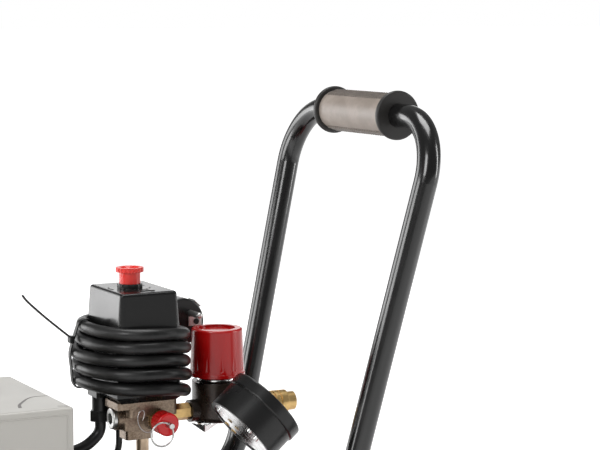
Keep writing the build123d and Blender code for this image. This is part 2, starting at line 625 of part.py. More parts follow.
def motor_gland():
    """Return the gland under the switch base."""
    start = (*MOTOR_GLAND_AT, 373)
    solid = hexagon(start, (0, 0, 1), MOTOR_GLAND_ACROSS, 8)
    solid += rod(start, (0, 0, 1), 12.5, SWITCH_BASE_BOTTOM - SEAT_GAP - 373)
    solid += rod(start, (0, 0, 1), 10, 24)
    return solid - rod(start, (0, 0, 1), MOTOR_CABLE_DIAMETER + 2 * RUNNING_GAP, 4)


MOTOR_CABLE_ROUTE = [
    (71.0, 12.0, 376.5),
    (71.0, 12.0, 364.0),
    (60.0, 11.0, 355.0),
    (44.0, 10.0, 350.5),
    (30.0, 10.0, 348.0),
    (17.0, 10.0, 348.0),
]

BLEED_ROUTE = [
    (86.0, 12.0, 384.0),
    (86.0, 12.0, 351.0),
    (80.0, 10.5, 339.0),
    (71.0, 7.0, 329.0),
    (66.0, 2.0, 314.0),
    (66.0, 0.0, 300.0),
]


def motor_cable():
    """Return the cable from the switch to the motor."""
    return swept(MOTOR_CABLE_ROUTE, cord_radii(MOTOR_CABLE_ROUTE), MOTOR_CABLE_DIAMETER)


def bleed_tube():
    """Return the thin unloading tube from the switch to the check valve."""
    return swept(BLEED_ROUTE, cord_radii(BLEED_ROUTE), BLEED_DIAMETER)


# --- Supply cord ----------------------------------------------------------------
SUPPLY_GLAND_AT = (98.3, 44.0, COVER_BOTTOM - 2.5)
SUPPLY_GLAND_LENGTH = 9.0

SUPPLY_LEAD_ROUTE = [
    (97.0, 41.8, 445.5),
    (105.0, 41.8, 445.5),
    (112.5, 44.5, 443.5),
    PLUG_NECK_START,
]


def supply_gland():
    """Return the gland on the rear entry of the switch base."""
    solid = hexagon(SUPPLY_GLAND_AT, (1, 0, 0), 15, SUPPLY_GLAND_LENGTH)
    return solid - rod(SUPPLY_GLAND_AT, (1, 0, 0), 5, SUPPLY_GLAND_LENGTH)


def coil_outline(offset):
    """Return the outline of a turn of cord, moved outward by an offset."""
    half_x, half_y = COIL_HALF_SIZE
    return RectangleRounded(2 * (half_x + offset), 2 * (half_y + offset), COIL_CORNER + offset)


def supply_cord_coil():
    """Return the wound cord's outer shape as one ring round the switch."""
    height = COIL_Z[1] - COIL_Z[0]
    solid = extrude(coil_outline(CORD_DIAMETER / 2), height)
    solid = fillet(solid.edges(), CORD_DIAMETER / 2 - 0.2)
    solid -= extrude(coil_outline(-CORD_DIAMETER / 2), height)
    solid = Pos(COIL_X, 0, COIL_Z[0]) * solid
    gland_end = SUPPLY_GLAND_AT[0] + SUPPLY_GLAND_LENGTH
    solid -= block((60, gland_end), (20, 60), (COIL_Z[0], SUPPLY_GLAND_AT[2] + 9.5))
    lead_x, lead_y, lead_z = SUPPLY_LEAD_ROUTE[0]
    solid -= block((lead_x, 150), (20, 60), (lead_z - 12, COIL_Z[1]))
    return solid - cover_block(-SEAT_GAP - 0.2)


def supply_cord_lead():
    """Return the short stretch of cord between the last turn and the plug."""
    return swept(SUPPLY_LEAD_ROUTE, cord_radii(SUPPLY_LEAD_ROUTE), CORD_DIAMETER)


def pin_places():
    """Return the two pin centres on the plug's face."""
    x, y, z = PLUG_AT
    step = PIN_SPACING / 2 * math.sqrt(0.5)
    return [(x + step, y, z + step), (x - step, y, z - step)]


def plug_body():
    """Return the round moulded plug, whose cord comes in at its rim."""
    face = rod(PLUG_AT, (0, 1, 0), PLUG_DIAMETER, PLUG_DEPTH)
    face = fillet(face.edges().sort_by(Axis.Y)[-1], 6)
    solid = fillet(face.edges().sort_by(Axis.Y)[0], 1.5)
    end_x, end_y, end_z = SUPPLY_LEAD_ROUTE[-1]
    before = SUPPLY_LEAD_ROUTE[-2]
    heading = Vector(end_x - before[0], end_y - before[1], end_z - before[2])
    solid += cone((end_x, end_y, end_z), tuple(heading), CORD_DIAMETER + 2, 15, 16)
    for pin in pin_places():
        solid -= rod(pin, (0, 1, 0), PIN_DIAMETER + 2 * RUNNING_GAP, 8)
    return solid


def plug_pins():
    """Return the two round pins and the sprung earth strips."""
    x, y, z = PLUG_AT
    pieces = []
    for pin_x, pin_y, pin_z in pin_places():
        pin = rod((pin_x, pin_y + 7, pin_z), (0, -1, 0), PIN_DIAMETER, PIN_LENGTH + 7)
        pieces.append(fillet(pin.edges().sort_by(Axis.Y)[0], 1.5).solid())
    for side in (-1, 1):
        strip = Pos(0, 7, side * (PLUG_DIAMETER / 2 + SEAT_GAP + 0.5)) * Box(7, 12, 1)
        pieces.append((Pos(x, y, z) * Rot(0, 45, 0) * strip).solid())
    return Compound(children=pieces)


def cable_tie():
    """Return the strap that binds the turns, with its head and long tail."""
    band = 1.0
    width = 4.8
    y = TIE_Y
    outer_x = COIL_X - COIL_HALF_SIZE[0] - CORD_DIAMETER / 2 - SEAT_GAP
    inner_x = COIL_X - COIL_HALF_SIZE[0] + CORD_DIAMETER / 2 + SEAT_GAP
    z = (COIL_Z[0] - SEAT_GAP, COIL_Z[1] + SEAT_GAP)
    ring = block((outer_x - band, inner_x + band), (y - width / 2, y + width / 2), (z[0] - band, z[1] + band))
    ring -= block((outer_x, inner_x), (y - width, y + width), z)
    head_z = COVER_BOTTOM + 34.0
    head = block((outer_x - 5, outer_x), (y - 4, y + 4), (head_z, head_z + 7))
    tail_route = [(outer_x - 2.5, head_z + 3), (23, head_z + 20), (11.6, head_z + 37)]
    tail = FilletPolyline(*[(x, y, tail_z) for x, tail_z in tail_route], radius=30)
    section = Plane(origin=tail @ 0, z_dir=tail % 0, x_dir=(0, 1, 0)) * Rectangle(width, 1.2)
    return ring + head + sweep(section, path=tail)


# --- Regulator ------------------------------------------------------------------
def regulator_nipple():
    """Return the brass double nipple between manifold and regulator."""
    left = 119 + SEAT_GAP
    right = REGULATOR_X - 24 - SEAT_GAP
    solid = rod((112, 0, OUTLET_Z), (1, 0, 0), 9, right - 112 + 6)
    solid += hexagon((left, 0, OUTLET_Z), (1, 0, 0), 11.5, right - left)
    return solid - rod((110, 0, OUTLET_Z), (1, 0, 0), 5, 50)


def regulator_body():
    """Return the cast regulator body with its three ports."""
    low, high = REGULATOR_BODY_Z
    solid = rod((REGULATOR_X, 0, low), (0, 0, 1), REGULATOR_BODY_DIAMETER, high - low)
    solid = fillet(solid.edges().group_by(Axis.Z)[0], 5)
    solid += rod((REGULATOR_X - 24, 0, OUTLET_Z), (1, 0, 0), 17, 45)
    solid += rod((GAUGE_CENTRE[0], 0, GAUGE_CENTRE[2]), (0, -1, 0), 15, 20)
    for x, direction in ((REGULATOR_X - 26, 1), (REGULATOR_X + 26, -1)):
        solid -= rod((x, 0, OUTLET_Z), (direction, 0, 0), 9 + 2 * RUNNING_GAP, 14)
    solid -= rod((GAUGE_CENTRE[0], -25, GAUGE_CENTRE[2]), (0, 1, 0), 8 + 2 * RUNNING_GAP, 16)
    neck = rod((REGULATOR_X, 0, high), (0, 0, 1), 20, 14)
    return solid + neck


def regulator_knob():
    """Return the red faceted knob that sets the outlet pressure."""
    low, high = REGULATOR_KNOB_Z
    wide, narrow = REGULATOR_KNOB_DIAMETER
    place = Pos(REGULATOR_X, 0, low)
    solid = place * Cone(wide / 2, narrow / 2, high - low, align=BOTTOM_ALIGN)
    solid = fillet(solid.edges().group_by(Axis.Z)[-1], 1.5)
    lip = place * Cylinder(wide / 2 + 0.6, 2.5, align=BOTTOM_ALIGN)
    solid += lip
    for number in range(REGULATOR_FACETS):
        groove = Pos(wide / 2 + 3.4, 0, 5) * Cylinder(4.0, high - low, align=BOTTOM_ALIGN)
        solid -= place * Rot(0, 0, (number + 0.5) * 360 / REGULATOR_FACETS) * groove
    solid -= rod((REGULATOR_X, 0, high - 2), (0, 0, 1), 28, 3)
    return solid - rod((REGULATOR_X, 0, low - 1), (0, 0, 1), 20 + 4 * RUNNING_GAP, 16)


def regulator_nub():
    """Return the chromed pyramid cap under the regulator."""
    top = REGULATOR_BODY_Z[0] - SEAT_GAP
    x = REGULATOR_X - NUB_OFFSET
    place = Pos(x, 0, top)
    collar = rod((x, 0, top), (0, 0, -1), NUB_WIDTH, 1.2)
    wide = Pos(0, 0, -1.2) * Rot(0, 0, NUB_TURN) * Rectangle(NUB_WIDTH, NUB_WIDTH)
    narrow = Pos(0, 0, -NUB_HEIGHT) * Rot(0, 0, NUB_TURN) * Rectangle(1.5, 1.5)
    return collar + place * loft([wide, narrow])


# --- Gauge ----------------------------------------------------------------------
def gauge_plane():
    """Return the gauge's own plane, with its dial facing +Z and +Y up the stem."""
    return Plane(origin=GAUGE_CENTRE, x_dir=(-GAUGE_FACING[2], 0, GAUGE_FACING[0]), z_dir=GAUGE_FACING)


def gauge_case():
    """Return the black case with its bezel, open to the dial."""
    half = GAUGE_DEPTH / 2
    radius = GAUGE_DIAMETER / 2
    cup = Pos(0, 0, -half) * Cylinder(radius - BEZEL_STEP, GAUGE_DEPTH - BEZEL_DEPTH, align=BOTTOM_ALIGN)
    bezel = Pos(0, 0, half - BEZEL_DEPTH) * Cylinder(radius, BEZEL_DEPTH, align=BOTTOM_ALIGN)
    bezel = fillet(bezel.edges(), 1.5)
    solid = cup + bezel
    solid -= Pos(0, 0, -half + 4) * Cylinder(radius - 3.5, GAUGE_DEPTH, align=BOTTOM_ALIGN)
    solid -= Pos(0, 0, -half - 1) * Cylinder(radius - 4.2, 3.2, align=BOTTOM_ALIGN)
    return gauge_plane() * solid


def gauge_stem():
    """Return the brass stem between the gauge and the regulator."""
    x, centre_y, z = GAUGE_CENTRE
    y = centre_y + GAUGE_DIAMETER / 2 - BEZEL_STEP + SEAT_GAP
    port = -20 - SEAT_GAP
    solid = rod((x, y, z), (0, 1, 0), 8, port + 9 - y)
    hex_y = centre_y + GAUGE_DIAMETER / 2 + SEAT_GAP
    return solid + hexagon((x, hex_y, z), (0, 1, 0), 12, port - hex_y)


def gauge_back():
    """Return the bright back plate with the two screws that hold the works."""
    half = GAUGE_DEPTH / 2
    plate = Pos(0, 0, -half + 0.6) * Cylinder(GAUGE_DIAMETER / 2 - 4.5, 1.3, align=BOTTOM_ALIGN)
    for side in (-1, 1):
        screw = Pos(side * 4.15, 17, -half - 0.6) * Cylinder(2.2, 1.4, align=BOTTOM_ALIGN)
        plate += screw
    return gauge_plane() * plate


def gauge_dial():
    """Return the white dial plate."""
    half = GAUGE_DEPTH / 2
    dial = Pos(0, 0, half - BEZEL_DEPTH + 1) * Cylinder(GAUGE_DIAMETER / 2 - 3.8, 0.8, align=BOTTOM_ALIGN)
    pivot = Pos(0, 0, half - BEZEL_DEPTH + 1) * Cylinder(0.8, 4, align=BOTTOM_ALIGN)
    works = Pos(0, 0, -half + 4.3) * Cylinder(8, GAUGE_DEPTH - BEZEL_DEPTH - 3.5, align=BOTTOM_ALIGN)
    return gauge_plane() * (dial + pivot + works)


def gauge_needle():
    """Return the pointer, resting at zero."""
    height = GAUGE_DEPTH / 2 - BEZEL_DEPTH + 3.2
    hub = Cylinder(2.5, 0.8, align=BOTTOM_ALIGN)
    pointer = Pos(6, 0, 0.4) * Box(20, 1.2, 0.6)
    needle = hub + pointer - Cylinder(0.8 + RUNNING_GAP, 4)
    return gauge_plane() * Pos(0, 0, height) * Rot(0, 0, NEEDLE_SWEEP / 2) * needle


def gauge_lens():
    """Return the clear window of the gauge."""
    half = GAUGE_DEPTH / 2
    lens = Pos(0, 0, half - 3.2) * Cylinder(GAUGE_DIAMETER / 2 - 3.8, 1.6, align=BOTTOM_ALIGN)
    return gauge_plane() * lens


# --- Quick coupler --------------------------------------------------------------
def coupler_body():
    """Return the brass coupler screwed into the regulator's outlet."""
    start = REGULATOR_X + 21 + SEAT_GAP
    end = start + COUPLER_LENGTH - 8
    solid = rod((start - 8, 0, OUTLET_Z), (1, 0, 0), 9, 10)
    solid += hexagon((start, 0, OUTLET_Z), (1, 0, 0), 17, 8)
    solid += rod((start, 0, OUTLET_Z), (1, 0, 0), 13.5, COUPLER_LENGTH - 12)
    solid += rod((start + COUPLER_LENGTH - 15, 0, OUTLET_Z), (1, 0, 0), 14.6, 7)
    return solid - rod((start - 9, 0, OUTLET_Z), (1, 0, 0), COUPLER_BORE, end - start + 20)


def coupler_sleeve():
    """Return the knurled sleeve that is pulled back to free the plug."""
    start = REGULATOR_X + 21 + SEAT_GAP + 8 + SLEEVE_TRAVEL + HEAD_GAP
    length = COUPLER_LENGTH - 15 - 8 - SLEEVE_TRAVEL - 2 * HEAD_GAP
    sleeve = rod((start, 0, OUTLET_Z), (1, 0, 0), SLEEVE_DIAMETER, length)
    for offset in (0.3, 0.5, 0.7):
        groove_x = start + length * offset
        groove = rod((groove_x, 0, OUTLET_Z), (1, 0, 0), SLEEVE_DIAMETER + 2, 1.6)
        groove -= rod((groove_x, 0, OUTLET_Z), (1, 0, 0), SLEEVE_DIAMETER - 1.4, 1.6)
        sleeve -= groove
    return sleeve - rod((start, 0, OUTLET_Z), (1, 0, 0), 13.5 + 2 * RUNNING_GAP, length)


# --- Motor ----------------------------------------------------------------------
def motor_cowl():
    """Return the boxed cowl over the motor, open underneath."""
    low = DECK_Z + SEAT_GAP
    y = (-COWL_HALF_WIDTH, COWL_HALF_WIDTH)
    solid = block(COWL_X, y, (low, COWL_TOP))
    solid = fillet(solid.edges().filter_by(Axis.Z) + solid.edges().group_by(Axis.Z)[-1], 2.5)
    inner_x = (COWL_X[0] + COWL_WALL, COWL_X[1] - COWL_WALL)
    inner_y = (y[0] + COWL_WALL, y[1] - COWL_WALL)
    solid -= block(inner_x, inner_y, (low, COWL_TOP - COWL_WALL))
    for side in (-1, 1):
        for number in range(9):
            slot_x = COWL_X[0] + 22 + number * 11
            wall = (side * COWL_HALF_WIDTH - 4, side * COWL_HALF_WIDTH + 4)
            solid -= block((slot_x, slot_x + 5), wall, (305, 370))
    for number in range(9):
        slot_z = 296 + number * 9
        solid -= block((COWL_X[1] - 4, COWL_X[1] + 4), (-35, 35), (slot_z, slot_z + 4.5))
    solid -= rod((COWL_X[0] - 4, 0, SHAFT_Z), (1, 0, 0), 64, 8)
    cable_y, cable_z = MOTOR_CABLE_ROUTE[-1][1:]
    return solid - rod((COWL_X[1] - 4, cable_y, cable_z), (1, 0, 0), MOTOR_CABLE_DIAMETER + 1, 8)


def stator():
    """Return the laminated stator with its windings and feet."""
    x0, x1 = STATOR_X
    centre = (x0, 0, SHAFT_Z)
    solid = rod(centre, (1, 0, 0), STATOR_DIAMETER, x1 - x0)
    solid += rod((x0 - 15, 0, SHAFT_Z), (1, 0, 0), 92, x1 - x0 + 30)
    for x in (x0 + 8, x1 - 20):
        solid += block((x, x + 12), (-45, 45), (DECK_Z + SEAT_GAP, SHAFT_Z - 40))
    bore = ROTOR_DIAMETER + 2 * ROTOR_GAP
    return solid - rod((x0 - 20, 0, SHAFT_Z), (1, 0, 0), bore, x1 - x0 + 40)


def motor_shaft():
    """Return the rotor on its shaft, with the crank web and pin."""
    web_x = CYLINDER_X + 10
    x0, x1 = STATOR_X
    solid = rod((web_x, 0, SHAFT_Z), (1, 0, 0), SHAFT_DIAMETER, FAN_X[1] + 4 - web_x)
    solid += rod((x0, 0, SHAFT_Z), (1, 0, 0), ROTOR_DIAMETER, x1 - x0)
    solid += rod((web_x, 0, SHAFT_Z), (1, 0, 0), 50, 8)
    return solid + rod((CYLINDER_X - 10, 0, SHAFT_Z + CRANK_R), (1, 0, 0), 14, 21)


def fan():
    """Return the cooling fan pressed on the shaft's free end."""
    x0, x1 = FAN_X
    solid = rod((x0, 0, SHAFT_Z), (1, 0, 0), 30, x1 - x0)
    blade = Pos((x0 + x1) / 2, 0, SHAFT_Z + FAN_DIAMETER / 4 + 4) * Rot(0, 0, 32)
    blade *= Box(x1 - x0, 2, FAN_DIAMETER / 2 - 8)
    for number in range(FAN_BLADES):
        turn = Pos(0, 0, SHAFT_Z) * Rot(number * 360 / FAN_BLADES, 0, 0) * Pos(0, 0, -SHAFT_Z)
        solid += turn * blade
    return solid - rod((x0 - 5, 0, SHAFT_Z), (1, 0, 0), SHAFT_DIAMETER + 2 * RUNNING_GAP, x1 - x0 + 10)


# --- Compressor -----------------------------------------------------------------
def crankcase():
    """Return the cast crankcase with the shaft's bearing nose."""
    y = (-CRANKCASE_HALF_WIDTH, CRANKCASE_HALF_WIDTH)
    wall = CRANKCASE_WALL
    low, high = CRANKCASE_Z
    solid = fillet(block(CRANKCASE_X, y, (low, high)).edges().filter_by(Axis.Z), 8)
    solid += rod((CRANKCASE_X[1] - wall, 0, SHAFT_Z), (1, 0, 0), 60, 30 + wall)
    solid -= block((CRANKCASE_X[0] + wall, CRANKCASE_X[1] - wall), (y[0] + wall, y[1] - wall), (low + wall, high - wall))
    solid -= rod((CYLINDER_X, 0, high - wall - 1), (0, 0, 1), BORE_DIAMETER, wall + 2)
    bore = SHAFT_DIAMETER + 2 * RUNNING_GAP
    return solid - rod((CRANKCASE_X[1] - wall - 1, 0, SHAFT_Z), (1, 0, 0), bore, 45)


def connecting_rod():
    """Return the connecting rod with its small-end pin."""
    x = (CYLINDER_X - 8, CYLINDER_X + 8)
    pin_z = SHAFT_Z + CRANK_R
    solid = rod((x[0], 0, pin_z), (1, 0, 0), 26, x[1] - x[0])
    solid += rod((x[0], 0, WRIST_Z), (1, 0, 0), 18, x[1] - x[0])
    solid += block((CYLINDER_X - 4, CYLINDER_X + 4), (-5.5, 5.5), (pin_z + 8, WRIST_Z - 4))
    solid += rod((CYLINDER_X - 15, 0, WRIST_Z), (1, 0, 0), 9, 30)
    return solid - rod((x[0] - 1, 0, pin_z), (1, 0, 0), 14 + 2 * RUNNING_GAP, x[1] - x[0] + 2)


PISTON_SKIRT = 15.0      # wrist centre to the skirt's lower edge
ROD_EYE_R = 9.0
PISTON_HEADROOM = STROKE + ROD_EYE_R + 1.5
DECK_TOP = WRIST_Z + PISTON_HEADROOM + CROWN + 0.8


def piston():
    """Return the cup-shaped piston with its ring bands."""
    outer = BORE_DIAMETER - 2 * PISTON_PLAY
    bottom = WRIST_Z - PISTON_SKIRT
    top = WRIST_Z + PISTON_HEADROOM + CROWN
    solid = rod((CYLINDER_X, 0, bottom), (0, 0, 1), outer, top - bottom)
    solid -= rod((CYLINDER_X, 0, bottom), (0, 0, 1), outer - 8, top - bottom - CROWN)
    for offset in (7, 12):
        groove = rod((CYLINDER_X, 0, top - offset), (0, 0, 1), outer + 2, 2)
        groove -= rod((CYLINDER_X, 0, top - offset), (0, 0, 1), outer - 1.2, 2)
        solid -= groove
    return solid


def cylinder():
    """Return the finned cylinder barrel."""
    low = CRANKCASE_Z[1] + SEAT_GAP
    height = DECK_TOP - low
    solid = rod((CYLINDER_X, 0, low), (0, 0, 1), BORE_DIAMETER + 10, height)
    pitch = height / FIN_COUNT
    for number in range(FIN_COUNT):
        solid += rod((CYLINDER_X, 0, low + number * pitch), (0, 0, 1), FIN_DIAMETER, 3)
    return solid - rod((CYLINDER_X, 0, low), (0, 0, 1), BORE_DIAMETER, height)


def cylinder_head():
    """Return the finned head with its valve plate and four bolts."""
    low = DECK_TOP + SEAT_GAP
    half = FIN_DIAMETER / 2
    x = (CYLINDER_X - half, CYLINDER_X + half)
    solid = block(x, (-half, half), (low, low + 8))
    solid += block((x[0] + 3, x[1] - 3), (-half + 3, half - 3), (low + 10, low + HEAD_HEIGHT - 8))
    for number in range(7):
        fin_x = x[0] + 6 + number * (x[1] - x[0] - 15) / 6
        solid += block((fin_x, fin_x + 3), (-half + 3, half - 3), (low + 8, low + HEAD_HEIGHT))
    for side_x in (-1, 1):
        for side_y in (-1, 1):
            bolt_at = (CYLINDER_X + side_x * (half - 8), side_y * (half - 8), low + 8)
            solid += hexagon(bolt_at, (0, 0, 1), 11, HEAD_HEIGHT - 6)
    port = (CYLINDER_X, half - 12, low + 17)
    return solid - rod(port, (0, 1, 0), 10 + 2 * RUNNING_GAP, 20)


def air_filter():
    """Return the intake filter on the camera side of the head."""
    start = (CYLINDER_X, -FIN_DIAMETER / 2 + 3 - SEAT_GAP, DECK_TOP + 19)
    solid = rod(start, (0, -1, 0), 14, 10)
    drum = rod((start[0], start[1] - 8, start[2]), (0, -1, 0), 52, 26)
    drum = fillet(drum.edges(), 3)
    return solid + drum


def delivery_pipe():
    """Return the pipe from the head down to the check valve."""
    pipe_y = (COWL_HALF_WIDTH + FLANGE_INNER_Y) / 2
    head_z = DECK_TOP + SEAT_GAP + 17
    half = FIN_DIAMETER / 2
    points = [
        (CYLINDER_X, half - 10, head_z),
        (CYLINDER_X, pipe_y, head_z),
        (CYLINDER_X, pipe_y, 315),
        (CHECK_VALVE_X, pipe_y, 315),
        (CHECK_VALVE_X, pipe_y, 288),
        (CHECK_VALVE_X, 12 + SEAT_GAP, 288),
    ]
    return swept(points, [14, 40, 25, 13], 10)


def check_valve():
    """Return the brass check valve on its tank socket."""
    bottom = TANK_TOP + 5 + SEAT_GAP
    solid = rod((CHECK_VALVE_X, 0, bottom - 12), (0, 0, 1), RISER_DIAMETER, 14)
    solid += hexagon((CHECK_VALVE_X, 0, bottom), (0, 0, 1), 20, 30)
    solid += rod((CHECK_VALVE_X, 0, 288), (0, 1, 0), 15, 12)
    bleed_x, bleed_y, bleed_z = BLEED_ROUTE[-1]
    solid += block((CHECK_VALVE_X, bleed_x + 4), (bleed_y - 5, bleed_y + 5), (bottom + 20, bottom + 28))
    solid += rod((bleed_x, bleed_y, bottom + 24), (0, 0, 1), 8, bleed_z - 2 * SEAT_GAP - bottom - 24)
    return solid


def rubber_mounts():
    """Return the four rubber blocks that carry the compressor."""
    mounts = []
    for x in (CRANKCASE_X[0] + 14, CRANKCASE_X[1] - 14):
        for y in (-CRANKCASE_HALF_WIDTH + 14, CRANKCASE_HALF_WIDTH - 14):
            height = CRANKCASE_Z[0] - DECK_Z
            mounts.append(rod((x, y, DECK_Z), (0, 0, 1), 24, height).solid())
    return Compound(children=mounts)


SUB_PARTS = {
    "tank_shell": tank_shell,
    "platform": platform,
    "handle_tube": handle_tube,
    "handle_grip": handle_grip,
    "handle_bolts": handle_bolts,
    "wheel_brackets": wheel_brackets,
    "axle_bolts": axle_bolts,
    "foot_bracket": foot_bracket,
    "foot_pads": foot_pads,
    "drain_body": drain_body,
    "drain_knob": drain_knob,
    "riser_pipe": riser_pipe,
    "manifold": manifold,
    "manifold_plug": manifold_plug,
    "relief_body": relief_body,
    "relief_cap": relief_cap,
    "relief_stem": relief_stem,
    "relief_ring": relief_ring,
    "switch_base": switch_base,
    "switch_cover": switch_cover,
    "switch_knob": switch_knob,
    "switch_contacts": switch_contacts,
    "motor_gland": motor_gland,
    "motor_cable": motor_cable,
    "bleed_tube": bleed_tube,
    "supply_gland": supply_gland,
    "supply_cord_coil": supply_cord_coil,
    "supply_cord_lead": supply_cord_lead,
    "plug_body": plug_body,
    "plug_pins": plug_pins,
    "cable_tie": cable_tie,
    "regulator_nipple": regulator_nipple,
    "regulator_body": regulator_body,
    "regulator_knob": regulator_knob,
    "regulator_nub": regulator_nub,
    "gauge_case": gauge_case,
    "gauge_stem": gauge_stem,
    "gauge_back": gauge_back,
    "gauge_dial": gauge_dial,
    "gauge_needle": gauge_needle,
    "gauge_lens": gauge_lens,
    "coupler_body": coupler_body,
    "coupler_sleeve": coupler_sleeve,
    "motor_cowl": motor_cowl,
    "stator": stator,
    "motor_shaft": motor_shaft,
    "fan": fan,
    "crankcase": crankcase,
    "connecting_rod": connecting_rod,
    "piston": piston,
    "cylinder": cylinder,
    "cylinder_head": cylinder_head,
    "air_filter": air_filter,
    "delivery_pipe": delivery_pipe,
    "check_valve": check_valve,
    "rubber_mounts": rubber_mounts,
}


def main():
    """Write every sub-part to its own file."""
    os.makedirs("parts", exist_ok=True)
    pieces = {name: make() for name, make in SUB_PARTS.items()}
    for name, make in (("wheel_rim", wheel_rim), ("tyre", tyre)):
        left = make()
        pieces[name + "_left"] = left
        pieces[name + "_right"] = mirror(left, about=Plane.XZ)
    for name, piece in pieces.items():
        export_step(piece, os.path.join("parts", name + ".step"))
    for name, route in (("motor cable", MOTOR_CABLE_ROUTE), ("bleed tube", BLEED_ROUTE), ("lead", SUPPLY_LEAD_ROUTE)):
        print(name, "radii", [round(radius, 1) for radius in cord_radii(route)])


if __name__ == "__main__":
    main()
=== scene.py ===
"""Finishes, supply cord, small fittings, light and camera of a portable air compressor."""
import logging
import math
from dataclasses import dataclass
from enum import Enum
from typing import Any, Iterable, Sequence

import bmesh
import bpy
from mathutils import Matrix, Vector


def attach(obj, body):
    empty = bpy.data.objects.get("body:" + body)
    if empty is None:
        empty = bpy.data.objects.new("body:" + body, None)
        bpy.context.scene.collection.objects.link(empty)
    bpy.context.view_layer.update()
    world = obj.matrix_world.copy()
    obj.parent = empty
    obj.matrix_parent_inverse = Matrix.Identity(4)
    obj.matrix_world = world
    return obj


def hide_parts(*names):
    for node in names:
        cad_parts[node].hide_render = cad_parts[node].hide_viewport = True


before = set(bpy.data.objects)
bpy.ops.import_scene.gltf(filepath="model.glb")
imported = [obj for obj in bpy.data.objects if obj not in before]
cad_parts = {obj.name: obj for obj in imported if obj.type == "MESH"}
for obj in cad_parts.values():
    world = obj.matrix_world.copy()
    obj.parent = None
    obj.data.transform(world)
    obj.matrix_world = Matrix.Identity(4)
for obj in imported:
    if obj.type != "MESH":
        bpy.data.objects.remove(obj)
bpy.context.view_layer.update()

log = logging.getLogger("air_compressor")
Colour = tuple[float, float, float]
Point = tuple[float, float, float]
Pairs = tuple[tuple[float, float], ...]
MM = 0.001


class Value:
    """A number that changes over a surface; an expression on it adds Math nodes."""

    def __init__(self, graph: "Graph", socket: bpy.types.NodeSocket) -> None:
        """Wrap the output socket of a node in a graph."""
        self.graph = graph
        self.socket = socket

    def _math(self, operation: str, first: Any, second: Any) -> "Value":
        """Return the result of one Math node."""
        return self.graph.node("ShaderNodeMath", {"operation": operation}, {0: first, 1: second})

    def __add__(self, other: Any) -> "Value":
        """Return self + other."""
        return self._math("ADD", self, other)

    def __radd__(self, other: Any) -> "Value":
        """Return other + self."""
        return self._math("ADD", other, self)

    def __sub__(self, other: Any) -> "Value":
        """Return self - other."""
        return self._math("SUBTRACT", self, other)

    def __rsub__(self, other: Any) -> "Value":
        """Return other - self."""
        return self._math("SUBTRACT", other, self)

    def __mul__(self, other: Any) -> "Value":
        """Return self * other."""
        return self._math("MULTIPLY", self, other)

    def __rmul__(self, other: Any) -> "Value":
        """Return other * self."""
        return self._math("MULTIPLY", other, self)

    def __gt__(self, other: Any) -> "Value":
        """Return 1 where self is over other, else 0."""
        return self._math("GREATER_THAN", self, other)


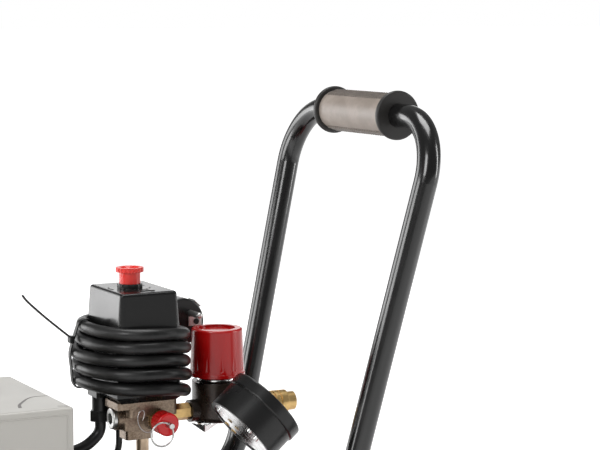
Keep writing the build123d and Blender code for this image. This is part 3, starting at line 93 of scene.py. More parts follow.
class Graph:
    """The node tree of one material, with its Principled shader."""

    def __init__(self, name: str) -> None:
        """Create the material and its shader.

        Args:
            name: The material's name.
        """
        self.material = bpy.data.materials.new(name)
        self.material.use_nodes = True
        self.tree = self.material.node_tree
        self.shader = self.tree.nodes["Principled BSDF"]

    def node(self, kind: str, settings: dict[str, Any] | None = None,
             inputs: dict[Any, Any] | None = None, output: Any = 0) -> Value:
        """Add a node, set it up and return one of its outputs.

        Args:
            kind: The node's Blender type.
            settings: Properties that are set first; "stops" are a ramp's stops.
            inputs: Values or links by socket name or number.
            output: The name or number of the output to return.

        Returns:
            The chosen output.
        """
        made = self.tree.nodes.new(kind)
        for key, value in (settings or {}).items():
            if key == "stops":
                ramp = made.color_ramp
                while len(ramp.elements) < len(value):
                    ramp.elements.new(0.5)
                for element, (place, colour) in zip(ramp.elements, value):
                    element.position = place
                    element.color = (*colour, 1.0)
            else:
                setattr(made, key, value)
        for key, value in (inputs or {}).items():
            self.feed(made.inputs[key], value)
        return Value(self, made.outputs[output])

    def feed(self, socket: bpy.types.NodeSocket, value: Any) -> None:
        """Link a value to a socket, or set the socket's own number."""
        if isinstance(value, Value):
            self.tree.links.new(value.socket, socket)
        elif isinstance(value, tuple) and len(value) == 3 and socket.type == "RGBA":
            socket.default_value = (*value, 1.0)
        else:
            socket.default_value = value

    def set(self, **inputs: Any) -> None:
        """Feed the Principled shader; underscores in a name stand for spaces."""
        for key, value in inputs.items():
            self.feed(self.shader.inputs[key.replace("_", " ")], value)

    def place(self) -> Value:
        """Return the object's own coordinates, in metres."""
        return self.node("ShaderNodeTexCoord", output="Object")

    def stretched(self, scale: Point) -> Value:
        """Return the object's coordinates, scaled along each axis."""
        return self.node("ShaderNodeMapping", {}, {"Vector": self.place(), "Scale": scale})

    def noise(self, scale: float, detail: float = 3.0, roughness: float = 0.55,
              vector: Value | None = None) -> Value:
        """Return cloudy noise from 0 to 1."""
        return self.node("ShaderNodeTexNoise", {}, {
            "Vector": vector or self.place(), "Scale": scale, "Detail": detail, "Roughness": roughness})

    def spread(self, value: Value, low: float, high: float, to_low: float, to_high: float) -> Value:
        """Return a value mapped from one range to another, and clamped."""
        return self.node("ShaderNodeMapRange", {"clamp": True}, {
            "Value": value, "From Min": low, "From Max": high, "To Min": to_low, "To Max": to_high})

    def mixed(self, factor: Any, first: Any, second: Any) -> Value:
        """Return a mix of two colours."""
        made = self.tree.nodes.new("ShaderNodeMix")
        made.data_type = "RGBA"
        self.feed(made.inputs[0], factor)
        self.feed(made.inputs[6], first)
        self.feed(made.inputs[7], second)
        return Value(self, made.outputs[2])

    def relief(self, height: Value, depth: float, edge: float = 0.0) -> None:
        """Give the surface a small relief, with worn edges rounded.

        Args:
            height: Relief height from 0 to 1.
            depth: Full depth of the relief, in metres.
            edge: Radius that sharp edges are rounded to, in metres.
        """
        inputs: dict[Any, Any] = {"Strength": 1.0, "Distance": depth, "Height": height}
        if edge:
            inputs["Normal"] = self.node("ShaderNodeBevel", {"samples": 4}, {"Radius": edge})
        self.set(Normal=self.node("ShaderNodeBump", {}, inputs))


@dataclass(frozen=True)
class GlossPaint:
    """Stoved or powder-coated paint with a faint orange peel."""

    name: str
    colour: Colour
    roughness: float = 0.14
    peel: float = 0.00002
    dust: float = 0.04

    def make(self) -> bpy.types.Material:
        """Return the material."""
        graph = Graph(self.name)
        cloud = graph.noise(9.0, 4.0)
        dusty = tuple(min(1.0, c + self.dust) for c in self.colour)
        graph.set(
            Base_Color=graph.mixed(graph.spread(cloud, 0.5, 0.85, 0.0, 0.5), self.colour, dusty),
            Roughness=graph.spread(graph.noise(40.0), 0.3, 0.7, self.roughness, self.roughness + 0.07),
            Coat_Weight=0.25, Coat_Roughness=0.05)
        graph.relief(graph.noise(420.0, 2.0), self.peel, 0.0006)
        return graph.material


@dataclass(frozen=True)
class MouldedPlastic:
    """Injection-moulded plastic with a spark-eroded grain."""

    name: str
    colour: Colour
    roughness: float = 0.38
    grain: float = 0.00003
    grain_scale: float = 1500.0
    shade: float = 0.12
    edge: float = 0.0005
    shine: float = 0.5

    def make(self) -> bpy.types.Material:
        """Return the material."""
        graph = Graph(self.name)
        cloud = graph.noise(14.0, 4.0)
        darker = tuple(c * (1.0 - self.shade) for c in self.colour)
        graph.set(
            Base_Color=graph.mixed(cloud, self.colour, darker),
            Roughness=graph.spread(cloud, 0.3, 0.7, self.roughness - 0.04, self.roughness + 0.06),
            Specular_IOR_Level=self.shine)
        graph.relief(graph.noise(self.grain_scale, 1.0), self.grain, self.edge)
        return graph.material


@dataclass(frozen=True)
class Rubber:
    """Moulded or extruded rubber, a little dusty."""

    name: str
    colour: Colour = (0.022, 0.022, 0.022)
    bloom: Colour = (0.05, 0.049, 0.047)
    roughness: float = 0.45
    shine: float = 0.35

    def make(self) -> bpy.types.Material:
        """Return the material."""
        graph = Graph(self.name)
        dust = graph.noise(55.0, 6.0, 0.65)
        graph.set(
            Base_Color=graph.mixed(graph.spread(dust, 0.42, 0.72, 0.0, 1.0), self.colour, self.bloom),
            Roughness=graph.spread(dust, 0.3, 0.7, self.roughness - 0.05, self.roughness + 0.13),
            Specular_IOR_Level=self.shine)
        graph.relief(graph.noise(900.0, 3.0), 0.00004, 0.0004)
        return graph.material


@dataclass(frozen=True)
class GripRubber:
    """The grip's black rubber: painted sheen turns its middle warm grey, painted shade darkens the gaps
    between its rows of teeth, and the flanges stay black.
    """

    name: str
    sleeve_sheen: Colour = (0.17, 0.143, 0.122)
    bloom: Colour = (0.25, 0.215, 0.188)
    black: Colour = (0.012, 0.011, 0.010)
    axis_height: float = 0.600
    flange_from: float = 0.0476
    rows_from: float = 0.0123
    pitch: float = 0.088 / 24

    def make(self) -> bpy.types.Material:
        """Return the material."""
        graph = Graph(self.name)
        split = graph.tree.nodes.new("ShaderNodeSeparateXYZ")
        graph.feed(split.inputs[0], graph.place())
        along = Value(graph, split.outputs[1])
        above = Value(graph, split.outputs[2]) - self.axis_height
        away = graph.node("ShaderNodeMath", {"operation": "ABSOLUTE"}, {0: above})
        end = graph.node("ShaderNodeMath", {"operation": "ABSOLUTE"}, {0: along})
        tooth = graph.node("ShaderNodeMath", {"operation": "SINE"}, {0: along * (2 * math.pi / self.pitch)})
        # Painted shade: the gaps between the rows of teeth are darkened towards black.
        tooth_gap_shade = (away > self.rows_from) * graph.spread(tooth * tooth, 0.35, 0.6, 1.0, 0.0)
        dust = graph.noise(60.0, 6.0, 0.65)
        # Painted sheen: the grip's middle is black rubber tinted warm grey where it catches light, mixed with
        # dust bloom.
        rubber = graph.mixed(graph.spread(dust, 0.4, 0.7, 0.0, 1.0), self.sleeve_sheen, self.bloom)
        teeth_with_shade = graph.mixed(tooth_gap_shade * 0.85, rubber, self.black)
        graph.set(
            Base_Color=graph.mixed(end > self.flange_from, teeth_with_shade, self.black),
            Roughness=graph.spread(dust, 0.3, 0.7, 0.38, 0.52), Specular_IOR_Level=0.45)
        graph.relief(graph.noise(900.0, 3.0), 0.00004, 0.0004)
        return graph.material


@dataclass(frozen=True)
class WornMetal:
    """Turned, drawn or plated metal with fine lines along one axis."""

    name: str
    colour: Colour
    dull: Colour
    roughness: float = 0.22
    lines: Point = (1.0, 1.0, 1.0)
    line_depth: float = 0.000003

    def make(self) -> bpy.types.Material:
        """Return the material."""
        graph = Graph(self.name)
        tarnish = graph.noise(120.0, 5.0, 0.6)
        fine = graph.noise(1400.0, 2.0, vector=graph.stretched(self.lines))
        graph.set(
            Base_Color=graph.mixed(graph.spread(tarnish, 0.4, 0.75, 0.0, 0.8), self.colour, self.dull),
            Metallic=1.0,
            Roughness=graph.spread(tarnish, 0.3, 0.7, self.roughness, self.roughness + 0.12) + fine * 0.04)
        graph.relief(fine, self.line_depth, 0.0004)
        return graph.material


@dataclass(frozen=True)
class Casting:
    """Die or sand casting with a pitted skin."""

    name: str
    colour: Colour
    pit: Colour
    roughness: float = 0.42
    metallic: float = 0.85
    grain: float = 0.00012

    def make(self) -> bpy.types.Material:
        """Return the material."""
        graph = Graph(self.name)
        skin = graph.noise(620.0, 5.0, 0.62)
        stain = graph.noise(70.0, 4.0)
        graph.set(
            Base_Color=graph.mixed(
                graph.spread(skin * 0.6 + stain * 0.4, 0.38, 0.62, 0.0, 1.0), self.pit, self.colour),
            Metallic=self.metallic,
            Roughness=graph.spread(stain, 0.3, 0.7, self.roughness - 0.08, self.roughness + 0.1))
        graph.relief(skin, self.grain, 0.0007)
        return graph.material


@dataclass(frozen=True)
class ClearWindow:
    """Clear polycarbonate window."""

    name: str

    def make(self) -> bpy.types.Material:
        """Return the material."""
        graph = Graph(self.name)
        haze = graph.spread(graph.noise(60.0, 4.0), 0.4, 0.7, 0.02, 0.07)
        graph.set(Base_Color=(0.97, 0.98, 0.98), Roughness=haze, Alpha=0.18, IOR=1.5, Coat_Weight=1.0)
        graph.relief(graph.noise(300.0, 1.0), 0.000004)
        return graph.material


class Finish(Enum):
    """Every finish on the machine."""

    TANK_RED = GlossPaint("tank_red_paint", (0.42, 0.012, 0.014), 0.16)
    FRAME_BLACK = GlossPaint("frame_gloss_black", (0.003, 0.003, 0.003), 0.17, 0.000012, 0.004)
    COVER_BLACK = MouldedPlastic(
        "switch_black_plastic", (0.008, 0.008, 0.008), 0.22, 0.00001, 1700.0, 0.25, 0.0006, 0.35)
    BODY_BLACK = MouldedPlastic(
        "moulded_black_plastic", (0.008, 0.008, 0.008), 0.3, 0.00003, 900.0, 0.25, 0.0006, 0.35)
    WHEEL_GREY = MouldedPlastic("wheel_grey_plastic", (0.05, 0.05, 0.052), 0.42, 0.00004, 700.0, 0.2)
    KNOB_ORANGE = MouldedPlastic("switch_knob_orange_red", (0.64, 0.014, 0.006), 0.3, 0.00001, 800.0, 0.1)
    KNOB_RED = MouldedPlastic("regulator_knob_red", (0.36, 0.003, 0.003), 0.2, 0.00001, 700.0, 0.15)
    CAP_RED = MouldedPlastic("relief_cap_red", (0.55, 0.004, 0.006), 0.22, 0.00001, 700.0, 0.1)
    COWL_GREY = MouldedPlastic("cowl_warm_grey", (0.40, 0.388, 0.36), 0.34, 0.00005, 1100.0, 0.05)
    GRIP_RUBBER = GripRubber("grip_rubber_with_painted_sheen")
    CORD_RUBBER = Rubber("cord_black_rubber", (0.0044, 0.0044, 0.0044), (0.016, 0.016, 0.016), 0.33)
    BLACK_RUBBER = Rubber("black_rubber")
    TYRE_RUBBER = Rubber("tyre_rubber", (0.016, 0.016, 0.016), (0.042, 0.041, 0.04), 0.6)
    BRASS = WornMetal("turned_brass", (0.66, 0.45, 0.19), (0.42, 0.28, 0.12), 0.26, (3.0, 0.4, 0.4))
    STEEL = WornMetal("zinc_plated_steel", (0.62, 0.62, 0.61), (0.42, 0.41, 0.39), 0.26)
    CHROME = WornMetal(
        "bright_plated", (0.86, 0.86, 0.86), (0.68, 0.68, 0.67), 0.08, (1.0, 1.0, 1.0), 0.000004)
    PIPE = WornMetal("bronzed_pipe", (0.46, 0.35, 0.25), (0.28, 0.21, 0.15), 0.25, (1.0, 1.0, 0.1))
    MANIFOLD = Casting("manifold_casting", (0.29, 0.225, 0.17), (0.14, 0.10, 0.07), 0.3, 0.85, 0.00004)
    ALLOY = Casting("pump_alloy_casting", (0.52, 0.51, 0.49), (0.34, 0.33, 0.31), 0.42)
    DARK_CASTING = Casting("dark_casting", (0.035, 0.024, 0.018), (0.015, 0.010, 0.008), 0.28, 0.4, 0.00003)
    PRINTED_WHITE = MouldedPlastic("dial_white", (0.82, 0.82, 0.80), 0.4, 0.000005, 400.0, 0.04, 0.0)
    PRINTED_BLACK = MouldedPlastic("dial_black_print", (0.012, 0.012, 0.012), 0.45, 0.000003, 400.0, 0.1, 0.0)
    STRAP_BLACK = MouldedPlastic(
        "strap_black_nylon", (0.006, 0.006, 0.006), 0.42, 0.00001, 900.0, 0.2, 0.0, 0.3)
    # Painted shade for the recesses of the cowl: its groove, its nick and its screw slots.
    COWL_SHADOW = MouldedPlastic("cowl_recess_painted_shade", (0.16, 0.15, 0.145), 0.5, 0.00001, 900.0, 0.2, 0.0)
    NEEDLE = MouldedPlastic("needle_red", (0.5, 0.02, 0.02), 0.35, 0.000003, 400.0, 0.1, 0.0)
    WINDOW = ClearWindow("gauge_window")
    WELD = Casting("painted_weld", (0.40, 0.012, 0.014), (0.33, 0.01, 0.012), 0.2, 0.0, 0.0002)


DRESSED: dict[Finish, tuple[str, ...]] = {
    Finish.TANK_RED: ("tank_shell",),
    Finish.FRAME_BLACK: ("handle_tube", "platform", "wheel_brackets", "foot_bracket"),
    Finish.COVER_BLACK: ("switch_base", "switch_cover"),
    Finish.BODY_BLACK: ("motor_gland", "supply_gland", "gauge_case", "plug_body", "fan", "air_filter",
                        "switch_contacts"),
    Finish.WHEEL_GREY: ("wheel_rim_left", "wheel_rim_right"),
    Finish.KNOB_ORANGE: ("switch_knob",),
    Finish.KNOB_RED: ("regulator_knob",),
    Finish.CAP_RED: ("relief_cap",),
    Finish.COWL_GREY: ("motor_cowl",),
    Finish.GRIP_RUBBER: ("handle_grip",),
    Finish.CORD_RUBBER: ("motor_cable", "bleed_tube", "cable_tie", "supply_cord_coil", "supply_cord_lead"),
    Finish.BLACK_RUBBER: ("foot_pads", "rubber_mounts"),
    Finish.TYRE_RUBBER: ("tyre_left", "tyre_right"),
    Finish.BRASS: ("regulator_nipple", "coupler_body", "coupler_sleeve", "relief_body", "gauge_stem",
                   "check_valve", "drain_body", "drain_knob"),
    Finish.STEEL: ("handle_bolts", "axle_bolts", "motor_shaft", "manifold_plug", "plug_pins", "relief_stem",
                   "relief_ring", "connecting_rod"),
    Finish.CHROME: ("regulator_nub", "gauge_back"),
    Finish.PIPE: ("riser_pipe", "delivery_pipe"),
    Finish.MANIFOLD: ("manifold",),
    Finish.ALLOY: ("crankcase", "cylinder_head", "piston"),
    Finish.DARK_CASTING: ("regulator_body", "cylinder", "stator"),
    Finish.PRINTED_WHITE: ("gauge_dial",),
    Finish.NEEDLE: ("gauge_needle",),
    Finish.WINDOW: ("gauge_lens",),
}


class Workshop:
    """Makes each finish once, and turns meshes and curves into pieces."""

    def __init__(self) -> None:
        """Start with no material made."""
        self.made: dict[Finish, bpy.types.Material] = {}

    def material(self, finish: Finish) -> bpy.types.Material:
        """Return a finish's material, made at its first use."""
        if finish not in self.made:
            self.made[finish] = finish.value.make()
        return self.made[finish]

    def dress(self, node: str, finish: Finish) -> None:
        """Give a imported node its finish."""
        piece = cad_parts[node]
        material = self.material(finish)
        if not piece.material_slots:
            piece.data.materials.append(material)
        for place in piece.material_slots:
            place.material = material

    def solid(self, name: str, shape: bmesh.types.BMesh, finish: Finish, body: str = "base",
              smooth: bool = True) -> bpy.types.Object:
        """Turn a finished shape into a piece that rides on a body.

        Args:
            name: The piece's name.
            shape: The shape, which is freed.
            finish: The finish that it wears.
            body: The body that it rides on.
            smooth: Whether its faces shade smoothly.

        Returns:
            The new object.
        """
        mesh = bpy.data.meshes.new(name)
        bmesh.ops.recalc_face_normals(shape, faces=shape.faces)
        shape.to_mesh(mesh)
        shape.free()
        for face in mesh.polygons:
            face.use_smooth = smooth
        piece = bpy.data.objects.new(name, mesh)
        bpy.context.scene.collection.objects.link(piece)
        mesh.materials.append(self.material(finish))
        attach(piece, body)
        log.info("%s: %d faces", name, len(mesh.polygons))
        return piece

    def tube(self, name: str, route: Sequence[Point], diameter: float, finish: Finish,
             body: str = "base", sides: int = 6) -> bpy.types.Object:
        """Bend a round wire or cord along a smooth route.

        Args:
            name: The piece's name.
            route: Control points, in metres.
            diameter: Diameter, in metres.
            finish: The finish that it wears.
            body: The body that it rides on.
            sides: Bevel resolution of the round.

        Returns:
            The new curve object.
        """
        curve = bpy.data.curves.new(name, "CURVE")
        curve.dimensions = "3D"
        spline = curve.splines.new("NURBS")
        spline.points.add(len(route) - 1)
        for point, place in zip(spline.points, route):
            point.co = (*place, 1.0)
        spline.order_u = 3
        spline.use_endpoint_u = True
        curve.resolution_u = 8
        curve.bevel_depth = diameter / 2
        curve.bevel_resolution = sides
        curve.use_fill_caps = True
        piece = bpy.data.objects.new(name, curve)
        bpy.context.scene.collection.objects.link(piece)
        curve.materials.append(self.material(finish))
        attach(piece, body)
        return piece


@dataclass
class SupplyCord:
    """The mains lead, wound five times round the switch and ending in its plug."""

    diameter: float = 9.4 * MM
    length: float = 1.30
    centre: tuple[float, float] = (93.5, 0.0)
    half_size: tuple[float, float] = (36.3, 42.3)
    fullness: float = 2.25
    steps: int = 16
    gland: Point = (107.3, 44.0, 398.0)
    right: tuple[float, ...] = (395.0, 407.5, 417.5, 428.0, 438.5)
    front: tuple[float, ...] = (403.8, 415.2, 425.7, 435.2, 444.6)
    left: tuple[float, ...] = (406.0, 416.0, 426.0, 436.0, 446.0)
    bulge: tuple[float, ...] = (5.0, 4.9, 6.7, 2.3, 0.2)
    back: tuple[float, ...] = (412.8, 422.2, 431.8, 441.0, 446.0)
    swell: tuple[float, ...] = (0.8, 2.2, 0.6, 1.6, 0.3)
    lead: tuple[Point, ...] = (
        (93.0, 51.0, 445.0), (106.0, 51.5, 444.0), (114.5, 49.0, 442.6), (120.5, 46.5, 441.0))
    contact_size: Point = (11.0, 0.8, 7.5)
    lip_size: Point = (9.0, 2.4, 1.2)
    lip_shift: Point = (0.6, -0.9, 4.2)
    hole_shift: Point = (1.0, 0.0, -0.4)
    hole_radius: float = 2.3
    hole_depth: float = 0.9
    earth: Point = (160.4, 35.8, 438.9)

    def height(self, turn: int, part: float) -> float:
        """Return the strand's height at a part of a turn, from the back clockwise."""
        before = self.gland[2] if turn == 0 else self.back[turn - 1]
        keys = (before, self.right[turn], self.front[turn], self.left[turn], self.back[turn])
        place = min(part * 4, 3.999)
        index = int(place)
        share = place - index
        share = share * share * (3 - 2 * share)
        return keys[index] * (1 - share) + keys[index + 1] * share

    def route(self) -> list[Point]:
        """Return the cord's control points, in metres."""
        x, y, z = self.gland
        points = [(x, y, z), (x + 9, y - 1.0, z - 0.4)]
        turns = len(self.right)
        for step in range(2, turns * self.steps - 1):
            turn, place = divmod(step, self.steps)
            part = place / self.steps
            angle = math.pi / 2 - 2 * math.pi * part
            swell = self.swell[turn] * max(0.0, -math.sin(angle)) ** 0.7
            bulge = self.bulge[turn] * max(0.0, math.cos(angle - math.radians(160))) ** 2
            power = 2 / self.fullness
            across = math.copysign(abs(math.cos(angle)) ** power, math.cos(angle))
            along = math.copysign(abs(math.sin(angle)) ** power, math.sin(angle))
            outward = 0.0
            if turn == turns - 1 and part > 0.78:
                outward = (part - 0.78) / 0.22 * 7.0
            points.append((
                self.centre[0] + (self.half_size[0] + swell) * across - bulge,
                self.centre[1] + (self.half_size[1] + swell + outward) * along,
                self.height(turn, part)))
        points += self.lead
        return [(px * MM, py * MM, pz * MM) for px, py, pz in points]

    def contact(self, shop: Workshop) -> list[bpy.types.Object]:
        """Make the earth contact on the plug's face, with a black disc of painted shade for its earth hole,
        and return its pieces.
        """
        middle, edge = Vector(self.earth), 0.3 * MM
        plate = plank(sized(self.contact_size), at(middle), edge)
        lip = plank(sized(self.lip_size), at(middle + Vector(self.lip_shift)), edge)
        radius = self.hole_radius * MM
        # Painted shade: a thin black disc on the contact stands for the dark earth hole.
        hole_shade = turned(((0, radius), (self.hole_depth * MM, radius)),
                      (middle + Vector(self.hole_shift)) * MM, Vector((0, -1, 0)), 28)
        return [shop.solid("plug_earth_contact", joined((plate, lip)), Finish.STEEL, smooth=False),
                shop.solid("plug_earth_hole_shade", hole_shade, Finish.STRAP_BLACK, smooth=False)]

    def build(self, shop: Workshop, tie: bpy.types.Object) -> None:
        route = self.route()
        cord = shop.tube("supply_cord", route, self.diameter, Finish.CORD_RUBBER, sides=8)
        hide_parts("supply_cord_coil", "supply_cord_lead")
        self.contact(shop)
        log.info("supply cord: %d points", len(route))


def at(place: Sequence[float]) -> Matrix:
    """Return a shift to a place that is in millimetres."""
    return Matrix.Translation(Vector(place) * MM)


def sized(size: Sequence[float]) -> Point:
    """Return a size in metres, from millimetres."""
    return size[0] * MM, size[1] * MM, size[2] * MM


def turned(profile: Iterable[tuple[float, float]], start: Vector, axis: Vector,
           steps: int = 40) -> bmesh.types.BMesh:
    """Return a closed turned shape.

    Args:
        profile: Pairs of height along the axis and radius, in metres, from end to end.
        start: Foot of the axis.
        axis: Direction of the axis.
        steps: Number of segments round.

    Returns:
        The shape.
    """
    shape = bmesh.new()
    turn = axis.normalized().to_track_quat("Z", "Y").to_matrix().to_4x4()
    place = Matrix.Translation(start) @ turn
    rings = []
    for height, radius in profile:
        ring = [shape.verts.new(place @ Vector((
            radius * math.cos(2 * math.pi * i / steps), radius * math.sin(2 * math.pi * i / steps), height)))
            for i in range(steps)]
        rings.append(ring)
    for low, high in zip(rings, rings[1:]):
        for i in range(steps):
            j = (i + 1) % steps
            shape.faces.new((low[i], low[j], high[j], high[i]))
    shape.faces.new(rings[0][::-1])
    shape.faces.new(rings[-1])
    return shape


def plank(size: Point, place: Matrix, round_off: float = 0.0) -> bmesh.types.BMesh:
    """Return a flat bar of a size at a place, with its edges rounded off."""
    shape = bmesh.new()
    bmesh.ops.create_cube(shape, size=1.0, matrix=Matrix.Diagonal((*size, 1.0)))
    if round_off:
        bmesh.ops.bevel(shape, geom=list(shape.edges), offset=round_off, segments=2, profile=0.6,
                        affect="EDGES")
    bmesh.ops.transform(shape, matrix=place, verts=shape.verts)
    return shape


def joined(shapes: Iterable[bmesh.types.BMesh]) -> bmesh.types.BMesh:
    """Return all the shapes as one, and free them."""
    whole = bmesh.new()
    for shape in shapes:
        spare = bpy.data.meshes.new("spare")
        shape.to_mesh(spare)
        shape.free()
        whole.from_mesh(spare)
        bpy.data.meshes.remove(spare)
    return whole


def smoothed(points: Sequence[Point], steps: int = 6) -> list[Vector]:
    """Return a soft line, in metres, through points that are in millimetres."""
    line = []
    ends = [points[0], *points, points[-1]]
    for a, b, c, d in zip(ends, ends[1:], ends[2:], ends[3:]):
        a, b, c, d = Vector(a), Vector(b), Vector(c), Vector(d)
        for step in range(steps):
            t = step / steps
            line.append((2 * b + (c - a) * t + (2 * a - 5 * b + 4 * c - d) * t * t
                         + (3 * b - a - 3 * c + d) * t * t * t) * 0.5 * MM)
    return line + [Vector(points[-1]) * MM]


def ribbon(line: Sequence[Vector], widths: Sequence[float], thickness: float,
           across: Vector | None = None, closed: bool = False) -> bmesh.types.BMesh:
    """Return a flat strip along a line.

    Args:
        line: Its middle line, in metres.
        widths: Widths in millimetres, spread evenly from start to end.
        thickness: Thickness, in millimetres.
        across: Direction of its width, or None for a strip that lies on a level face.
        closed: Whether it is a loop.

    Returns:
        The shape.
    """
    shape = bmesh.new()
    count = len(line)
    rings = []
    for i, point in enumerate(line):
        before = line[i - 1] if i or closed else point
        after = line[(i + 1) % count] if i < count - 1 or closed else point
        along = (after - before).normalized()
        side = (across or along.cross(Vector((0, 0, 1)))).normalized()
        rise = side.cross(along).normalized()
        place = i / max(1, count - 1) * (len(widths) - 1)
        low = min(int(place), len(widths) - 2) if len(widths) > 1 else 0
        width = widths[low] + (widths[min(low + 1, len(widths) - 1)] - widths[low]) * (place - low)
        half, thick = side * width / 2 * MM, rise * thickness / 2 * MM
        corner = min(0.3, thickness / 3) * MM
        inner_side, inner_rise = half - side * corner, thick - rise * corner
        rings.append([shape.verts.new(point + offset) for offset in (
            half + inner_rise, inner_side + thick, thick - inner_side, inner_rise - half,
            -half - inner_rise, -inner_side - thick, inner_side - thick, half - inner_rise)])
    last = count if closed else count - 1
    for i in range(last):
        low_ring, high_ring = rings[i], rings[(i + 1) % count]
        for j in range(8):
            k = (j + 1) % 8
            shape.faces.new((low_ring[j], low_ring[k], high_ring[k], high_ring[j]))
    if not closed:
        shape.faces.new(rings[0][::-1])
        shape.faces.new(rings[-1])
    return shape


@dataclass
class CordTie:
    """The strap round the turns of the lead, with its head and its long tail."""

    y: float = 9.5
    around: Pairs = (
        (62.5, 449.5), (60.8, 451.2), (57.2, 451.4), (54.0, 449.6), (52.3, 446.2), (49.0, 436.5),
        (46.4, 427.0), (47.3, 416.0), (48.2, 406.0), (49.9, 402.2), (52.2, 400.5), (60.5, 400.7),
        (62.4, 403.0), (62.5, 426.0))
    width: float = 4.8
    head: Point = (47.4, 9.5, 437.0)
    tail: Pairs = (
        (47.4, 438.0), (43.6, 441.2), (38.8, 445.2), (27.3, 455.0), (18.1, 463.4), (12.7, 468.8),
        (10.0, 472.6))
    head_size: Point = (3.8, 6.4, 5.4)
    tail_widths: tuple[float, ...] = (4.8, 4.8, 4.8, 4.8, 4.0, 2.2)

    def loop(self) -> list[Vector]:
        """Return the strap's line round the turns."""
        points = [(x, self.y, z) for x, z in self.around]
        return smoothed(points + points[:1], 4)[:-1]

    def build(self, shop: Workshop) -> bpy.types.Object:
        """Make the strap and return it."""
        side = Vector((0, 1, 0))
        band = ribbon(self.loop(), (self.width, self.width), 1.0, side, closed=True)
        block = plank(sized(self.head_size), at(self.head), 1.0 * MM)
        tail = ribbon(smoothed([(x, self.y, z) for x, z in self.tail]), self.tail_widths, 1.3, side)
        strap = shop.solid("cord_tie", joined((band, block, tail)), Finish.STRAP_BLACK,
                           smooth=False)
        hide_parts("cable_tie")
        return strap


@dataclass
class CowlFittings:
    """The groove and nick moulded into the motor's cowl, drawn as dark strips of painted shade, and its
    screws.
    """

    top: float = 402.5
    side: float = 67.0
    ends: tuple[float, float] = (-150.0, 20.0)
    groove: Pairs = (
        (-14.8, -52.5), (-12.0, -43.0), (-7.2, -35.0), (0.2, -24.5), (6.6, -19.5), (13.5, -19.6),
        (18.5, -20.6))
    groove_widths: tuple[float, ...] = (2.6, 2.2, 1.8, 1.2, 0.8, 0.7)
    nick: Pairs = ((10.6, -58.8), (14.0, -60.2), (17.2, -61.4))
    nick_widths: tuple[float, ...] = (0.6, 0.9)
    inset: float = 5.0
    bottom: float = 276.0
    line_width: float = 0.9
    line_depth: float = 0.5
    screw_inset: float = 14.0
    screw: Pairs = ((0, 3.6), (0.7, 3.6), (1.5, 3.1), (2.0, 2.1), (2.15, 0.8))
    screw_slot: Point = (3.4, 0.5, 0.7)
    screw_slot_height: float = 1.95

    def build(self, shop: Workshop) -> None:
        """Make the painted shade strips in the groove and nick, the panel lines and the screws."""
        marks = []
        for line, widths in ((self.groove, self.groove_widths), (self.nick, self.nick_widths)):
            # Painted shade: a thin dark strip along each recess, standing for the shade inside it.
            marks.append(ribbon(smoothed([(x, y, self.top + 0.03) for x, y in line]), widths, 0.16))
        shop.solid("cowl_top_groove_shade", joined(marks), Finish.COWL_SHADOW, smooth=False)
        self.panel_lines(shop)
        self.screws(shop)

    def panel_lines(self, shop: Workshop) -> None:
        """Make a raised line round each long side."""
        low, high = self.bottom + self.inset, self.top - self.inset
        left, right = self.ends[0] + self.inset, self.ends[1] - self.inset
        middle_x, middle_z = (left + right) / 2, (low + high) / 2
        wide, tall, line = right - left, high - low, self.line_width
        lines = []
        for side in (-1, 1):
            y = side * (self.side + 0.1)
            for x, z, width, height in ((middle_x, high, wide, line), (middle_x, low, wide, line),
                                        (left, middle_z, line, tall), (right, middle_z, line, tall)):
                lines.append(plank(sized((width, self.line_depth, height)), at((x, y, z)), 0.15 * MM))
        shop.solid("cowl_panel_lines", joined(lines), Finish.COWL_GREY, smooth=False)

    def screws(self, shop: Workshop) -> None:
        """Make two cross-head screws in each long side, with dark planks of painted shade in their cross
        slots.
        """
        heads, slot_shades = [], []
        profile = [(height * MM, radius * MM) for height, radius in self.screw]
        for side in (-1, 1):
            for x in (self.ends[0] + self.screw_inset, self.ends[1] - self.screw_inset):
                foot = Vector((x, side * self.side, self.bottom + self.screw_inset))
                heads.append(turned(profile, foot * MM, Vector((0, side, 0)), 32))
                # Painted shade: two dark planks cross in each head where the slot's recess is.
                for turn in (0.5, 0.5 + math.pi / 2):
                    place = at(foot + Vector((0, side * self.screw_slot_height, 0)))
                    slot_shades.append(plank(sized(self.screw_slot), place @ Matrix.Rotation(turn, 4, "Y")))
        shop.solid("cowl_screws", joined(heads), Finish.STEEL)
        shop.solid("cowl_screw_slot_shade", joined(slot_shades), Finish.COWL_SHADOW, smooth=False)


@dataclass
class SwitchMarks:
    """The marks round the push knob and the collar under the regulator's knob."""

    centre: tuple[float, float] = (91.0, 1.5)
    top: float = 474.0
    radius: float = 15.5
    arcs: tuple[Point, ...] = ((-75, -15, 1.5), (150, 200, 1.4), (20, 60, 1.2))
    collar_at: tuple[float, float] = (162.5, 398.2)
    collar: Pairs = ((0, 15.4), (0.5, 15.9), (2.6, 15.9), (3.1, 15.4), (3.2, 12.0))

    def build(self, shop: Workshop) -> None:
        """Make the marks and the collar."""
        marks = []
        for start, end, width in self.arcs:
            line = []
            for step in range(13):
                angle = math.radians(start + (end - start) * step / 12)
                line.append(Vector((self.centre[0] + self.radius * math.cos(angle),
                                    self.centre[1] + self.radius * math.sin(angle), self.top + 0.05)) * MM)
            marks.append(ribbon(line, (width * 0.4, width, width * 0.4), 0.3))
        shop.solid("switch_cover_marks", joined(marks), Finish.STRAP_BLACK,
                   smooth=False)
        x, z = self.collar_at
        profile = [(height * MM, radius * MM) for height, radius in self.collar]
        collar = turned(profile, Vector((x, 0, z)) * MM, Vector((0, 0, 1)), 56)
        shop.solid("regulator_collar", collar, Finish.CHROME)


